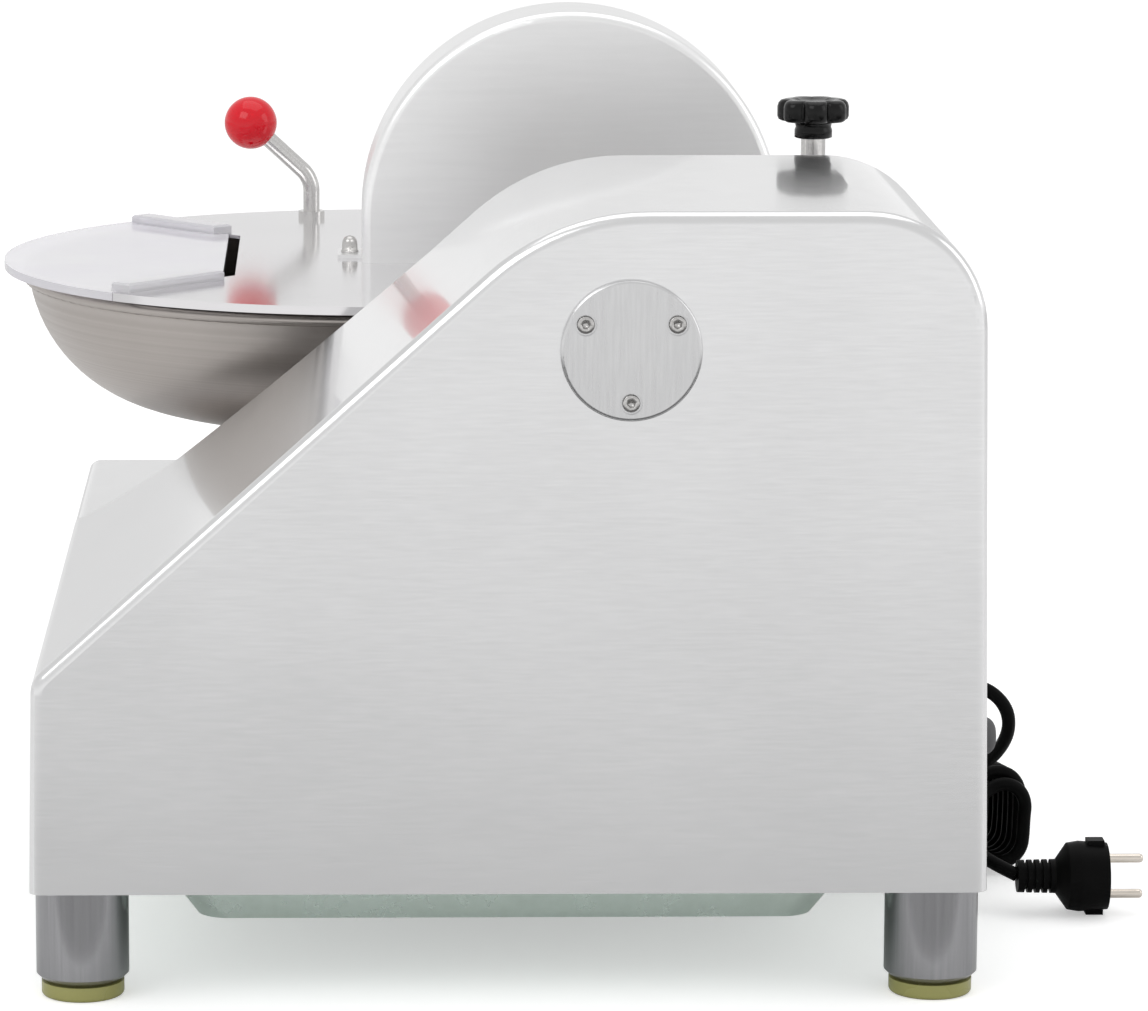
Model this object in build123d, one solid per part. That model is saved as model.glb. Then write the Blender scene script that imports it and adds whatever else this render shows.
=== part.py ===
"""Bench-top bowl cutter for meat: a motor housing with a low platform, a trough-shaped bowl that
turns on a vertical spindle, and curved knives on a horizontal shaft under a lid with a dome.

Frame: millimetres, +Z up, the floor at Z = 0. The end panel faces +X, the bowl lies towards -X,
the operator stands at -Y. The origin is the middle of the machine's footprint box, cord left out.
"Run" is the distance from the end panel towards the bowl; "side" is Y from the housing's middle.
"""
from build123d import *
import os
from math import cos, degrees, pi, radians, sin, sqrt, tan

# ---------------------------------------------------------------- driving dimensions
# housing
HOUSING_TAIL = 129.0
HOUSING_WIDTH = 470.0
HOUSING_BOTTOM = 56.0
PLATFORM_TOP = 162.0
BLOCK_HEADROOM = 66.5
SIDE_DRAFT = 1.0
SLOPE_ANGLE = 42.0
CREST_RADIUS = 117.0
REAR_TOP_RADIUS = 58.0
NOSE_RADIUS = 14.0
PANEL_EDGE_RADIUS = 6.0
PLATFORM_CORNER_RADIUS = 22.0
HOUSING_WALL = 5.0
PLATFORM_LAP = 60.0
CRADLE_FOOT_RADIUS = 198.0
CRADLE_KNEE_RADIUS = 248.0
CRADLE_KNEE_HEIGHT = 58.0
CRADLE_LIP_RADIUS = 290.0
CRADLE_LIP_HEIGHT = 178.0
SEAT_PROUD = 22.0
SEAT_MARGIN = 4.0
WEB_RUN = 84.0
WEB_THICKNESS = 6.0
WEB_TOP = 262.0
POST_HEIGHT = 26.0

# legs, pads and pan
LEG_DIAMETER = 46.0
LEG_INSET = 2.0
LEG_CHAMFER = 4.0
PAD_DIAMETER = 41.0
PAD_HEIGHT = 7.5
PAD_SPIGOT_DIAMETER = 30.0
PAD_SPIGOT_HEIGHT = 4.5
PAD_EDGE_RADIUS = 2.0
LEG_BOLT_DIAMETER = 10.0
LEG_BOLT_HEAD = 6.5
LEG_BOLT_GRIP = 18.0
PAN_CORNER = 16.0
PAN_DEPTH = 25.0
PAN_SHEET = 1.5
PAN_STEP_DEPTH = 6.0
PAN_STEP_RUN = 19.0
PAN_SLOPE_RUN = 12.0
PAN_SIDE_RIM = 50.0
PAN_END_RIM = 20.0
PAN_INSET = 6.5

# bowl and its drive
BOWL_RUN = 536.0
BOWL_INSET = 176.0
TROUGH_PITCH_RADIUS = 117.0
TROUGH_RADIUS = 86.5
TROUGH_LIFT = 140.0
BOWL_SHEET = 3.0
BOWL_RIM_DROP = 11.0
RIM_BEAD_RADIUS = 3.2
BOWL_HUB_DROP = 8.0
BOWL_HUB_SHEET = 5.0
SPINDLE_DIAMETER = 25.0
SPINDLE_STUD_DIAMETER = 14.0
SPINDLE_TUBE_DIAMETER = 60.0
SPINDLE_TUBE_RISE = 70.0
SPINDLE_FLANGE_DIAMETER = 112.0
SPINDLE_FLANGE_THICKNESS = 9.0
BOWL_NUT_DIAMETER = 44.0
WHEEL_TEETH = 56
WHEEL_MODULE = 3.5
WHEEL_WIDTH = 22.0
WHEEL_HUB_DIAMETER = 50.0
WHEEL_RIM_THICKNESS = 12.0
WHEEL_RECESS = 5.0
WORM_TURNS = 6
WORM_BLOCK_GAP = 66.0
WORM_BLOCK_WIDTH = 18.0
WORM_BLOCK_MARGIN = 14.0
TOOTH_BACKLASH = 0.6
TOOTH_FLANK_ANGLE = 20.0
SPINDLE_DRIVE_DIAMETER = 60.0
SPINDLE_DRIVE_HEIGHT = 6.0
TUBE_GAP = 8.0

# knife shaft, knives and belt drive
SHAFT_LIFT = 23.0
SHAFT_DIAMETER = 20.0
SLEEVE_DIAMETER = 34.0
SLEEVE_BORE = 26.0
SLEEVE_FLANGE_DIAMETER = 74.0
SLEEVE_FLANGE_THICKNESS = 8.0
SLEEVE_SCREW_CIRCLE = 60.0
SLEEVE_REACH = 8.0
SLEEVE_LAND = 18.0
SHAFT_BOSS_DIAMETER = 84.0
BEARING_DIAMETER = 47.0
BEARING_WIDTH = 14.0
KNIFE_RADIUS = 88.0
KNIFE_THICKNESS = 4.0
KNIFE_HUB_RADIUS = 23.0
KNIFE_PITCH = 18.0
KNIFE_COLLAR_DIAMETER = 38.0
KNIFE_NUT_HEIGHT = 12.0
KNIFE_NUT_DIAMETER = 30.0
KNIFE_SEAT_DIAMETER = 18.0
KNIFE_TURN = 20.0
KNIFE_BEVEL = 9.0
MOTOR_DROP = 35.0
MOTOR_DIAMETER = 122.0
MOTOR_LENGTH = 150.0
MOTOR_FLANGE_THICKNESS = 8.0
MOTOR_FLANGE_MARGIN = 16.0
MOTOR_RIBS = 24
MOTOR_SHAFT_DIAMETER = 19.0
PULLEY_RUN = 44.0
PULLEY_WIDTH = 20.0
KNIFE_PULLEY_DIAMETER = 60.0
MOTOR_PULLEY_DIAMETER = 90.0
BELT_WIDTH = 13.0
BELT_THICKNESS = 8.0
BELT_LANDING = 2.0

# end cover
COVER_DIAMETER = 68.5
COVER_THICKNESS = 4.0
COVER_EDGE_RADIUS = 1.6
COVER_SCREW_CIRCLE = 51.0
COVER_HOLE_DIAMETER = 44.0
COVER_SCREW_DIAMETER = 5.0
COVER_RECESS_DIAMETER = 10.8
COVER_RECESS_DEPTH = 2.2
COVER_SCREW_HEAD = 8.6

# lid, window, dome and handle
LID_RADIUS = 217.0
LID_RISE = 10.0
LID_SHEET = 2.0
LID_HEM = 4.6
WINDOW_HALF_ANGLE = 47.0
WINDOW_SLOT_RADIUS = 82.0
WINDOW_SLOT_WIDTH = 7.0
WINDOW_THICKNESS = 4.6
STRIP_LENGTH = 75.0
STRIP_WIDTH = 14.0
STRIP_THICKNESS = 5.0
STRIP_EDGE_INSET = 6.0
DOME_RADIUS = 120.0
DOME_OFFSET = -7.0
DOME_WIDTH = 72.0
DOME_SHEET = 2.0
DOME_EDGE_RADIUS = 5.0
DOME_TAB_LENGTH = 14.0
DOME_TAB_WIDTH = 30.0
DOME_BOLT_DIAMETER = 6.0
TONGUE_WIDTH = 132.0
TONGUE_MARGIN = 11.0
HANDLE_DIAMETER = 10.0
HANDLE_REACH = 179.0
HANDLE_OFFSET = -40.0
HANDLE_RISE = 24.0
HANDLE_BEND_RADIUS = 18.0
HANDLE_STUD_DIAMETER = 8.0
HANDLE_FOOT_DIAMETER = 16.0
BALL_DIAMETER = 32.0
BALL_REACH = 37.0
BALL_RISE = 58.0

# hinge and clamp
HINGE_REACH = 255.0
HINGE_RISE = 6.0
HINGE_ROD_DIAMETER = 16.0
HINGE_KNUCKLE_DIAMETER = 26.0
HINGE_ARM_WIDTH = 14.0
HINGE_ARM_GAP = 8.0
ARM_LENGTH = 40.0
ARM_FOOT = 6.0
HINGE_ROD_REACH = 76.0
CLAMP_RUN = 38.0
CLAMP_WIDTH = 66.0
CLAMP_HEIGHT = 46.0
CLAMP_SLIT = 2.0
STUD_OFFSET = 26.0
STUD_DIAMETER = 13.0
STUD_THREAD = 8.0
KNOB_CLEARANCE = 4.5
KNOB_DIAMETER = 39.0
KNOB_LOBES = 7
KNOB_HUB_DIAMETER = 20.5
KNOB_HUB_HEIGHT = 9.0
KNOB_GRIP_HEIGHT = 12.0

# controls and electrical parts
SWITCH_RUN = 215.0
SWITCH_HEIGHT = 100.0
SWITCH_PLATE_LENGTH = 96.0
SWITCH_PLATE_HEIGHT = 46.0
SWITCH_PLATE_THICKNESS = 3.0
SWITCH_PLATE_CORNER = 8.0
SWITCH_DEPTH = 42.0
BUTTON_DIAMETER = 24.0
BUTTON_PITCH = 44.0
BUTTON_TRAVEL = 4.0
BUTTON_PROUD = 5.0
BUTTON_STEM = 10.0
BUTTON_BODY = 6.0
BUTTON_STEM_LENGTH = 14.0
BUMPER_RUN = 110.0
BUMPER_HEIGHT = 110.0
BUMPER_DIAMETER = 20.0
BUMPER_PROUD = 17.0
GLAND_RUN = 190.0
GLAND_HEIGHT = 119.0
GLAND_DIAMETER = 20.0
GLAND_LENGTH = 10.0
CORD_DIAMETER = 7.2
HANK_RUN = 250.0
HANK_SIDE = 273.5
HANK_CENTRE_HEIGHT = 32.4
HANK_WIDTH = 31.8
HANK_HEIGHT = 57.0
HANK_TURNS = 8
HANK_PITCH = 7.5
HANK_LEAN = 14.0
HANK_SINK = 3.0
PLUG_RUN = 175.0
PLUG_DIAMETER = 37.0
PLUG_FACE_SIDE = 319.0
PLUG_LENGTH = 47.0
PLUG_BODY_LENGTH = 27.0
PLUG_NECK_DIAMETER = 17.0
PLUG_LUG_LENGTH = 9.0
PLUG_LUG_WIDTH = 9.0
PLUG_LUG_RISE = 1.4
PLUG_SHOULDER = 6.0
PIN_DIAMETER = 4.8
PIN_LENGTH = 19.0
PIN_PITCH = 19.0

# fasteners
SLEEVE_SCREW = 5.0
CLAMP_SCREW = 8.0
MOTOR_BOLT = 8.0
SPINDLE_BOLT = 8.0

# clearances
RUNNING = 0.05
FIT = 0.15
LOOSE = 0.4
OPEN_GAP = 2.5

# ---------------------------------------------------------------- derived places
HOUSING_LENGTH = BOWL_RUN + HOUSING_TAIL
BLOCK_RUN = BOWL_RUN - CRADLE_LIP_RADIUS
SEAT_RUN = BLOCK_RUN + SEAT_PROUD
EDGE_TURN = 90 - SIDE_DRAFT
NOSE_TANGENT = NOSE_RADIUS * tan(radians(EDGE_TURN - SLOPE_ANGLE) / 2)
PLATFORM_EDGE_RADIUS = NOSE_TANGENT / tan(radians(EDGE_TURN) / 2)
BOWL_SIDE = BOWL_INSET - HOUSING_WIDTH / 2
TROUGH_CENTRE_HEIGHT = PLATFORM_TOP + TROUGH_LIFT
BOWL_RIM_HEIGHT = TROUGH_CENTRE_HEIGHT - BOWL_RIM_DROP
BOWL_HUB_TOP = BOWL_RIM_HEIGHT - BOWL_HUB_DROP
SHAFT_HEIGHT = TROUGH_CENTRE_HEIGHT + SHAFT_LIFT
BLOCK_TOP = SHAFT_HEIGHT + BLOCK_HEADROOM
BUMPER_END_SIDE = HOUSING_WIDTH / 2 - 1.0 + BUMPER_PROUD
PANEL_X = (BOWL_RUN + LID_RADIUS - COVER_THICKNESS) / 2
BODY_Y = (LID_RADIUS - BOWL_SIDE - BUMPER_END_SIDE) / 2
BOWL_X = PANEL_X - BOWL_RUN
BOWL_Y = BODY_Y + BOWL_SIDE
SHAFT_SIDE = BOWL_SIDE + TROUGH_PITCH_RADIUS
MOTOR_HEIGHT = PLATFORM_TOP - MOTOR_DROP
PAN_TOP = HOUSING_BOTTOM + PAN_SHEET
LID_TOP = BOWL_RIM_HEIGHT + LID_RISE
DOME_SIDE = SHAFT_SIDE + DOME_OFFSET
DOME_NEAR = BOWL_RUN - DOME_WIDTH / 2
DOME_FAR = BOWL_RUN + DOME_WIDTH / 2
SLEEVE_END = DOME_NEAR + SLEEVE_REACH
KNIFE_RUNS = (BOWL_RUN - KNIFE_PITCH / 2, BOWL_RUN + KNIFE_PITCH / 2)
LID_UNDER = LID_TOP - LID_SHEET
HINGE_SIDE = BOWL_SIDE + HINGE_REACH
HINGE_HEIGHT = LID_TOP + HINGE_RISE
HINGE_ROD_END = BOWL_RUN + HINGE_ROD_REACH
HANDLE_RUN = BOWL_RUN + HANDLE_REACH
HANDLE_SIDE = BOWL_SIDE + HANDLE_OFFSET
TONGUE_END_SIDE = DOME_SIDE + DOME_RADIUS + TONGUE_MARGIN
WHEEL_RADIUS = WHEEL_TEETH * WHEEL_MODULE / 2
WORM_RADIUS = TROUGH_PITCH_RADIUS - WHEEL_RADIUS
TOOTH_PITCH = pi * WHEEL_MODULE
TOOTH_DEPTH = 1.2 * WHEEL_MODULE
TOOTH_HALF_WIDTH = (TOOTH_PITCH / 2 - TOOTH_BACKLASH) / 2
WORM_LENGTH = WORM_TURNS * TOOTH_PITCH
STUD_RUN = SEAT_RUN + CLAMP_RUN / 2
STUD_SIDE = HINGE_SIDE - STUD_OFFSET
KNOB_SEAT_HEIGHT = BLOCK_TOP + KNOB_CLEARANCE
PLATFORM_UNDER = PLATFORM_TOP - HOUSING_WALL
SPINDLE_TUBE_TOP = PLATFORM_TOP + SPINDLE_TUBE_RISE
TUBE_LOW = MOTOR_HEIGHT + WHEEL_WIDTH / 2 + TUBE_GAP
SPINDLE_LOW = MOTOR_HEIGHT - WHEEL_WIDTH / 2 - TUBE_GAP
REAR_BEARING_RUN = HOUSING_WALL
COVER_SCREW_TIP = HOUSING_WALL - 0.5
FRONT_BEARING_RUN = SEAT_RUN - BEARING_WIDTH
COLLAR_START = SLEEVE_END + 4.0
WORM_BLOCK_RUNS = (BOWL_RUN - WORM_BLOCK_GAP, BOWL_RUN + WORM_BLOCK_GAP)


def place(run, side, height):
    """A point given by its run from the end panel, its side and its height."""
    return Vector(PANEL_X - run, BODY_Y + side, height)


def rod_x(diameter, run0, run1, side, height):
    """A round bar along X between two runs."""
    middle = place((run0 + run1) / 2, side, height)
    return Pos(*middle) * Rot(0, 90, 0) * Cylinder(diameter / 2, abs(run1 - run0))


def rod_y(diameter, side0, side1, run, height):
    """A round bar along Y between two sides."""
    middle = place(run, (side0 + side1) / 2, height)
    return Pos(*middle) * Rot(90, 0, 0) * Cylinder(diameter / 2, abs(side1 - side0))


def rod_z(diameter, height0, height1, run, side):
    """A round bar along Z between two heights."""
    middle = place(run, side, (height0 + height1) / 2)
    return Pos(*middle) * Cylinder(diameter / 2, abs(height1 - height0))


def block(run0, run1, side0, side1, height0, height1):
    """A box between two runs, two sides and two heights."""
    middle = place((run0 + run1) / 2, (side0 + side1) / 2, (height0 + height1) / 2)
    return Pos(*middle) * Box(abs(run1 - run0), abs(side1 - side0), abs(height1 - height0))


def section_plane(run):
    """The plane across the machine at a run: local x is side, local y is height."""
    return Plane(origin=(PANEL_X - run, BODY_Y, 0), x_dir=(0, 1, 0), z_dir=(1, 0, 0))


def push_x(sketch, run0, run1):
    """Extrudes a sketch, drawn as side and height, from one run to another."""
    return extrude(section_plane(run1) * sketch, amount=run1 - run0)


def turned_about_bowl(sketch):
    """Revolves a sketch, drawn as radius and height, about the bowl's axis."""
    plane = Plane(origin=(BOWL_X, BOWL_Y, 0), x_dir=(1, 0, 0), z_dir=(0, -1, 0))
    return revolve(plane * sketch, Axis((BOWL_X, BOWL_Y, 0), (0, 0, 1)), 360)


def turned_along_x(sketch, side, height):
    """Revolves a sketch, drawn as run and radius, about an axis along X."""
    plane = Plane(origin=(PANEL_X, BODY_Y + side, height), x_dir=(-1, 0, 0), z_dir=(0, 1, 0))
    axis = Axis((PANEL_X, BODY_Y + side, height), (1, 0, 0))
    return revolve(plane * sketch, axis, 360)


# ---------------------------------------------------------------- housing
def side_at(height, inset):
    """Half-width of the drafted housing at a height."""
    slack = inset / cos(radians(SIDE_DRAFT))
    return HOUSING_WIDTH / 2 - (height - HOUSING_BOTTOM) * tan(radians(SIDE_DRAFT)) - slack


def platform_section(inset):
    """Cross section of the low base that runs the whole length, with rounded upper edges."""
    low = HOUSING_BOTTOM - (1.0 if inset else 0.0)
    top = PLATFORM_TOP - inset
    points = [(-side_at(low, inset), low), (side_at(low, inset), low)]
    points += [(side_at(top, inset), top), (-side_at(top, inset), top)]
    section = make_face(Polyline(*points, close=True))
    upper = section.vertices().group_by(Axis.Y)[-1]
    return fillet(upper, PLATFORM_EDGE_RADIUS - inset)


def block_section(inset):
    """Cross section of the tall motor block: sloped front, flat top, round rear shoulder."""
    low = HOUSING_BOTTOM - (1.0 if inset else 0.0)
    top = BLOCK_TOP - inset
    slope = radians(SLOPE_ANGLE)
    nose_side = -side_at(PLATFORM_TOP, 0)
    slope_drop = inset / cos(slope)

    def slope_height(side):
        return PLATFORM_TOP + (side - nose_side) * tan(slope) - slope_drop

    nose = -side_at(PLATFORM_TOP, inset)
    crest = nose_side + (top - PLATFORM_TOP + slope_drop) / tan(slope)
    points = [
        (-side_at(low, inset), low),
        (side_at(low, inset), low),
        (side_at(top, inset), top),
        (crest, top),
        (nose, slope_height(nose)),
    ]
    section = make_face(Polyline(*points, close=True))
    rounding = {2: REAR_TOP_RADIUS, 3: CREST_RADIUS, 4: NOSE_RADIUS}
    for index, radius in rounding.items():
        corner = section.vertices().sort_by_distance((*points[index], 0))[0]
        section = fillet(corner, radius - inset)
    return section


def cradle_cut(inset):
    """The space round the bowl: a dished recess about its axis, run straight out to the rear."""
    low = PLATFORM_TOP - inset
    lift = inset * 0.4
    outline = Polyline(
        (0, low),
        (CRADLE_FOOT_RADIUS + inset, low),
        (CRADLE_KNEE_RADIUS + inset, PLATFORM_TOP + CRADLE_KNEE_HEIGHT - lift),
        (CRADLE_LIP_RADIUS + inset, PLATFORM_TOP + CRADLE_LIP_HEIGHT - lift),
        (CRADLE_LIP_RADIUS + inset, BLOCK_TOP + 5),
        (0, BLOCK_TOP + 5),
        close=True,
    )
    section = make_face(outline)
    dish = turned_about_bowl(section)
    plane = Plane(origin=(BOWL_X, BOWL_Y, 0), x_dir=(1, 0, 0), z_dir=(0, -1, 0))
    channel = extrude(plane * section, amount=-HOUSING_WIDTH)
    return dish + channel


def housing_form(inset):
    """The housing's form, drawn in by an inset for the cavity."""
    wing_run = BOWL_RUN - sqrt(CRADLE_FOOT_RADIUS**2 - (side_at(PLATFORM_TOP, 0) + BOWL_SIDE) ** 2)
    tall = push_x(block_section(inset), inset, wing_run)
    panel = tall.faces().sort_by(Axis.X)[-1]
    rim = [edge for edge in panel.edges() if edge.center().Z > HOUSING_BOTTOM + 1]
    tall = fillet(rim, PANEL_EDGE_RADIUS - inset)
    tall -= cradle_cut(inset)
    low = push_x(platform_section(inset), PLATFORM_LAP, HOUSING_LENGTH - inset)
    far = low.faces().sort_by(Axis.X)[0]
    upright = [edge for edge in far.edges() if edge.length > 50 and abs(edge.center().Y - BODY_Y) > 50]
    low = fillet(upright, PLATFORM_CORNER_RADIUS - inset)
    return low + tall


def leg_places():
    """Run and side of the four legs' axes."""
    edge = LEG_DIAMETER / 2 + LEG_INSET
    sides = (-HOUSING_WIDTH / 2 + edge, HOUSING_WIDTH / 2 - edge)
    runs = (edge, HOUSING_LENGTH - edge)
    return [(run, side) for run in runs for side in sides]


def corner_post(run, side, half):
    """A square post for a leg's bolt, cast into the nearest corner."""
    outer = HOUSING_WIDTH / 2 if side > 0 else -HOUSING_WIDTH / 2
    inner = side - half if side > 0 else side + half
    end = 0 if run < HOUSING_LENGTH / 2 else HOUSING_LENGTH
    inside = run + half if run < HOUSING_LENGTH / 2 else run - half
    return block(end, inside, inner, outer, PAN_TOP, PAN_TOP + POST_HEIGHT)


def cast_inside(outer):
    """Posts, the motor web and the bearing boss, trimmed to the housing's outer form."""
    lumps = [corner_post(run, side, LEG_BOLT_DIAMETER) for run, side in leg_places()]
    half = HOUSING_WIDTH / 2
    lumps += [block(WEB_RUN, WEB_RUN + WEB_THICKNESS, -half, half, PAN_TOP + 2, WEB_TOP)]
    lumps += [rod_x(SHAFT_BOSS_DIAMETER, 0, HOUSING_WALL + BEARING_WIDTH, SHAFT_SIDE, SHAFT_HEIGHT)]
    return [lump & outer for lump in lumps]


def clamp_seat(grow):
    """Side and height limits of the hinge clamp, grown for its cast seat."""
    middle = HINGE_SIDE + HINGE_KNUCKLE_DIAMETER / 2 + 5 - CLAMP_WIDTH
    low = HINGE_HEIGHT - CLAMP_HEIGHT / 2
    return middle - grow, middle + CLAMP_WIDTH + grow, low - grow, low + CLAMP_HEIGHT + grow


def seat_lumps():
    """Flat-faced bosses on the cradle wall for the knife shaft's sleeve and the hinge clamp."""
    side0, side1, low, high = clamp_seat(SEAT_MARGIN)
    root = BLOCK_RUN - 2 * HOUSING_WALL
    return [
        rod_x(SHAFT_BOSS_DIAMETER, root, SEAT_RUN, SHAFT_SIDE, SHAFT_HEIGHT),
        block(root, SEAT_RUN, side0, side1, low, high),
    ]


def ring_places(count, circle, turn):
    """Points evenly spaced on a circle, the first one turned from the local x axis."""
    angles = [radians(turn + 360 / count * index) for index in range(count)]
    return [(circle / 2 * cos(angle), circle / 2 * sin(angle)) for angle in angles]


def cover_screw_places():
    points = ring_places(3, COVER_SCREW_CIRCLE, 30)
    return [(SHAFT_SIDE + y, SHAFT_HEIGHT + z) for y, z in points]


def sleeve_screw_places():
    points = ring_places(4, SLEEVE_SCREW_CIRCLE, 45)
    return [(SHAFT_SIDE + y, SHAFT_HEIGHT + z) for y, z in points]


def clamp_screw_places():
    side0, side1, low, high = clamp_seat(0)
    return [(side0 + 8, high - 8), (side0 + 8, low + 8), (side1 - 7, high - 7), (side1 - 7, low + 7)]


def motor_bolt_places():
    points = ring_places(4, MOTOR_DIAMETER + MOTOR_FLANGE_MARGIN, 45)
    return [(SHAFT_SIDE + y, MOTOR_HEIGHT + z) for y, z in points]


def spindle_bolt_places():
    points = ring_places(4, SPINDLE_FLANGE_DIAMETER - 20, 45)
    return [(BOWL_RUN + x, BOWL_SIDE + y) for x, y in points]


def make_housing():
    outer = housing_form(0)
    body = outer - housing_form(HOUSING_WALL)
    for lump in cast_inside(outer):
        body += lump
    for lump in seat_lumps():
        body += lump
    bearing = BEARING_DIAMETER + 2 * RUNNING
    web = (WEB_RUN - 1, WEB_RUN + WEB_THICKNESS + 1)
    floor = (PLATFORM_UNDER - 1, PLATFORM_TOP + 1)
    gland_hole = (HOUSING_WIDTH / 2 - 20, HOUSING_WIDTH / 2 + 5)
    cuts = [
        rod_x(COVER_HOLE_DIAMETER, -1, HOUSING_WALL + 1, SHAFT_SIDE, SHAFT_HEIGHT),
        rod_x(bearing, HOUSING_WALL, 40, SHAFT_SIDE, SHAFT_HEIGHT),
        rod_x(bearing, SEAT_RUN - BEARING_WIDTH, SEAT_RUN + 1, SHAFT_SIDE, SHAFT_HEIGHT),
        rod_x(SHAFT_DIAMETER + 12, BLOCK_RUN - 40, SEAT_RUN, SHAFT_SIDE, SHAFT_HEIGHT),
        rod_x(MOTOR_SHAFT_DIAMETER + 30, *web, SHAFT_SIDE, MOTOR_HEIGHT),
        rod_z(SPINDLE_TUBE_DIAMETER + 2 * LOOSE, *floor, BOWL_RUN, BOWL_SIDE),
        rod_y(GLAND_DIAMETER - 6, *gland_hole, GLAND_RUN, GLAND_HEIGHT),
        switch_box(LOOSE),
    ]
    cuts += [rod_x(COVER_SCREW_DIAMETER, -1, COVER_SCREW_TIP, y, z) for y, z in cover_screw_places()]
    cuts += [rod_x(SLEEVE_SCREW, SEAT_RUN - 14, SEAT_RUN + 1, y, z) for y, z in sleeve_screw_places()]
    cuts += [rod_x(CLAMP_SCREW, SEAT_RUN - 20, SEAT_RUN + 1, y, z) for y, z in clamp_screw_places()]
    cuts += [rod_x(MOTOR_BOLT, WEB_RUN - 1, WEB_RUN + 20, y, z) for y, z in motor_bolt_places()]
    cuts += [rod_z(SPINDLE_BOLT, *floor, x, y) for x, y in spindle_bolt_places()]
    thread = (PAN_TOP - 1, PAN_TOP + LEG_BOLT_GRIP + 2)
    cuts += [rod_z(LEG_BOLT_DIAMETER, *thread, x, y) for x, y in leg_places()]
    for cut in cuts:
        body -= cut
    return body


def switch_box(grow):
    """The space of the switch body behind its plate on the front wall."""
    length = SWITCH_PLATE_LENGTH / 2 - 8 + grow
    height = SWITCH_PLATE_HEIGHT / 2 - 6 + grow
    side = -HOUSING_WIDTH / 2
    return block(
        SWITCH_RUN - length,
        SWITCH_RUN + length,
        side - 3 * (1 if grow else 0),
        side + SWITCH_DEPTH,
        SWITCH_HEIGHT - height,
        SWITCH_HEIGHT + height,
    )


# ---------------------------------------------------------------- legs, pads and pan
def make_leg(run, side):
    """A turned foot tube with a recess below for its bolt's head and the pad's spigot."""
    leg = rod_z(LEG_DIAMETER, PAD_HEIGHT, HOUSING_BOTTOM, run, side)
    leg = chamfer(leg.edges().group_by(Axis.Z)[0], LEG_CHAMFER)
    recess_top = PAD_HEIGHT + PAD_SPIGOT_HEIGHT + LEG_BOLT_HEAD + LOOSE
    leg -= rod_z(PAD_SPIGOT_DIAMETER, PAD_HEIGHT - 1, recess_top, run, side)
    return leg - rod_z(LEG_BOLT_DIAMETER + LOOSE, PAD_HEIGHT, HOUSING_BOTTOM + 1, run, side)


def make_pad(run, side):
    """A soft pad with a rounded rim and a spigot that plugs into the leg."""
    pad = rod_z(PAD_DIAMETER, 0, PAD_HEIGHT, run, side)
    pad = fillet(pad.edges().group_by(Axis.Z)[0], PAD_EDGE_RADIUS)
    spigot = PAD_SPIGOT_DIAMETER - 2 * FIT
    return pad + rod_z(spigot, PAD_HEIGHT, PAD_HEIGHT + PAD_SPIGOT_HEIGHT, run, side)


def make_leg_bolts():
    """Hexagon bolts that pull each leg up against its post."""
    head_top = PAD_HEIGHT + PAD_SPIGOT_HEIGHT + LEG_BOLT_HEAD + LOOSE
    head = extrude(RegularPolygon(LEG_BOLT_DIAMETER * 0.9, 6), amount=LEG_BOLT_HEAD)
    bolts = Part()
    for run, side in leg_places():
        bolts += Pos(*place(run, side, head_top - LEG_BOLT_HEAD)) * head
        bolts += rod_z(LEG_BOLT_DIAMETER - 2 * RUNNING, head_top, PAN_TOP + LEG_BOLT_GRIP, run, side)
    return bolts


def tray(inset):
    """The pan's pressing, drawn in by an inset: a shallow step round a deeper middle."""
    length = HOUSING_LENGTH - 2 * PAN_END_RIM - 2 * inset
    width = HOUSING_WIDTH - 2 * PAN_SIDE_RIM - 2 * inset
    middle = place(HOUSING_LENGTH / 2, 0, 0)
    stages = [
        (0, PAN_TOP),
        (PAN_STEP_RUN, HOUSING_BOTTOM - PAN_STEP_DEPTH + inset),
        (PAN_STEP_RUN + PAN_SLOPE_RUN, HOUSING_BOTTOM - PAN_DEPTH + inset),
    ]
    outlines = []
    for step, height in stages:
        outline = RectangleRounded(length - 2 * step, width - 2 * step, PAN_CORNER)
        outlines.append(Pos(middle.X, middle.Y, height) * outline)
    return loft(outlines[1::-1]) + loft(outlines[:0:-1])


def make_pan():
    """Pressed tray that closes the housing from below."""
    middle = place(HOUSING_LENGTH / 2, 0, (HOUSING_BOTTOM + PAN_TOP) / 2)
    size = (HOUSING_LENGTH - 2 * PAN_INSET, HOUSING_WIDTH - 2 * PAN_INSET)
    flange = Pos(*middle) * Box(*size, PAN_SHEET)
    flange = fillet(flange.edges().filter_by(Axis.Z), PAN_CORNER)
    pan = flange + tray(0)
    pan -= tray(PAN_SHEET)
    for run, side in leg_places():
        pan -= rod_z(LEG_BOLT_DIAMETER + LOOSE, HOUSING_BOTTOM - 1, PAN_TOP + 1, run, side)
    return pan


# ---------------------------------------------------------------- end cover
def make_cover():
    """Round cover over the shaft's end, with three recessed screw seats."""
    cover = rod_x(COVER_DIAMETER, 0, -COVER_THICKNESS, SHAFT_SIDE, SHAFT_HEIGHT)
    cover = fillet(cover.edges().sort_by(Axis.X)[-1], COVER_EDGE_RADIUS)
    seat = COVER_RECESS_DEPTH - COVER_THICKNESS
    for side, height in cover_screw_places():
        cover -= rod_x(COVER_RECESS_DIAMETER, -COVER_THICKNESS - 1, seat, side, height)
        cover -= rod_x(COVER_SCREW_DIAMETER + LOOSE, -COVER_THICKNESS, 1, side, height)
    return cover


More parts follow.
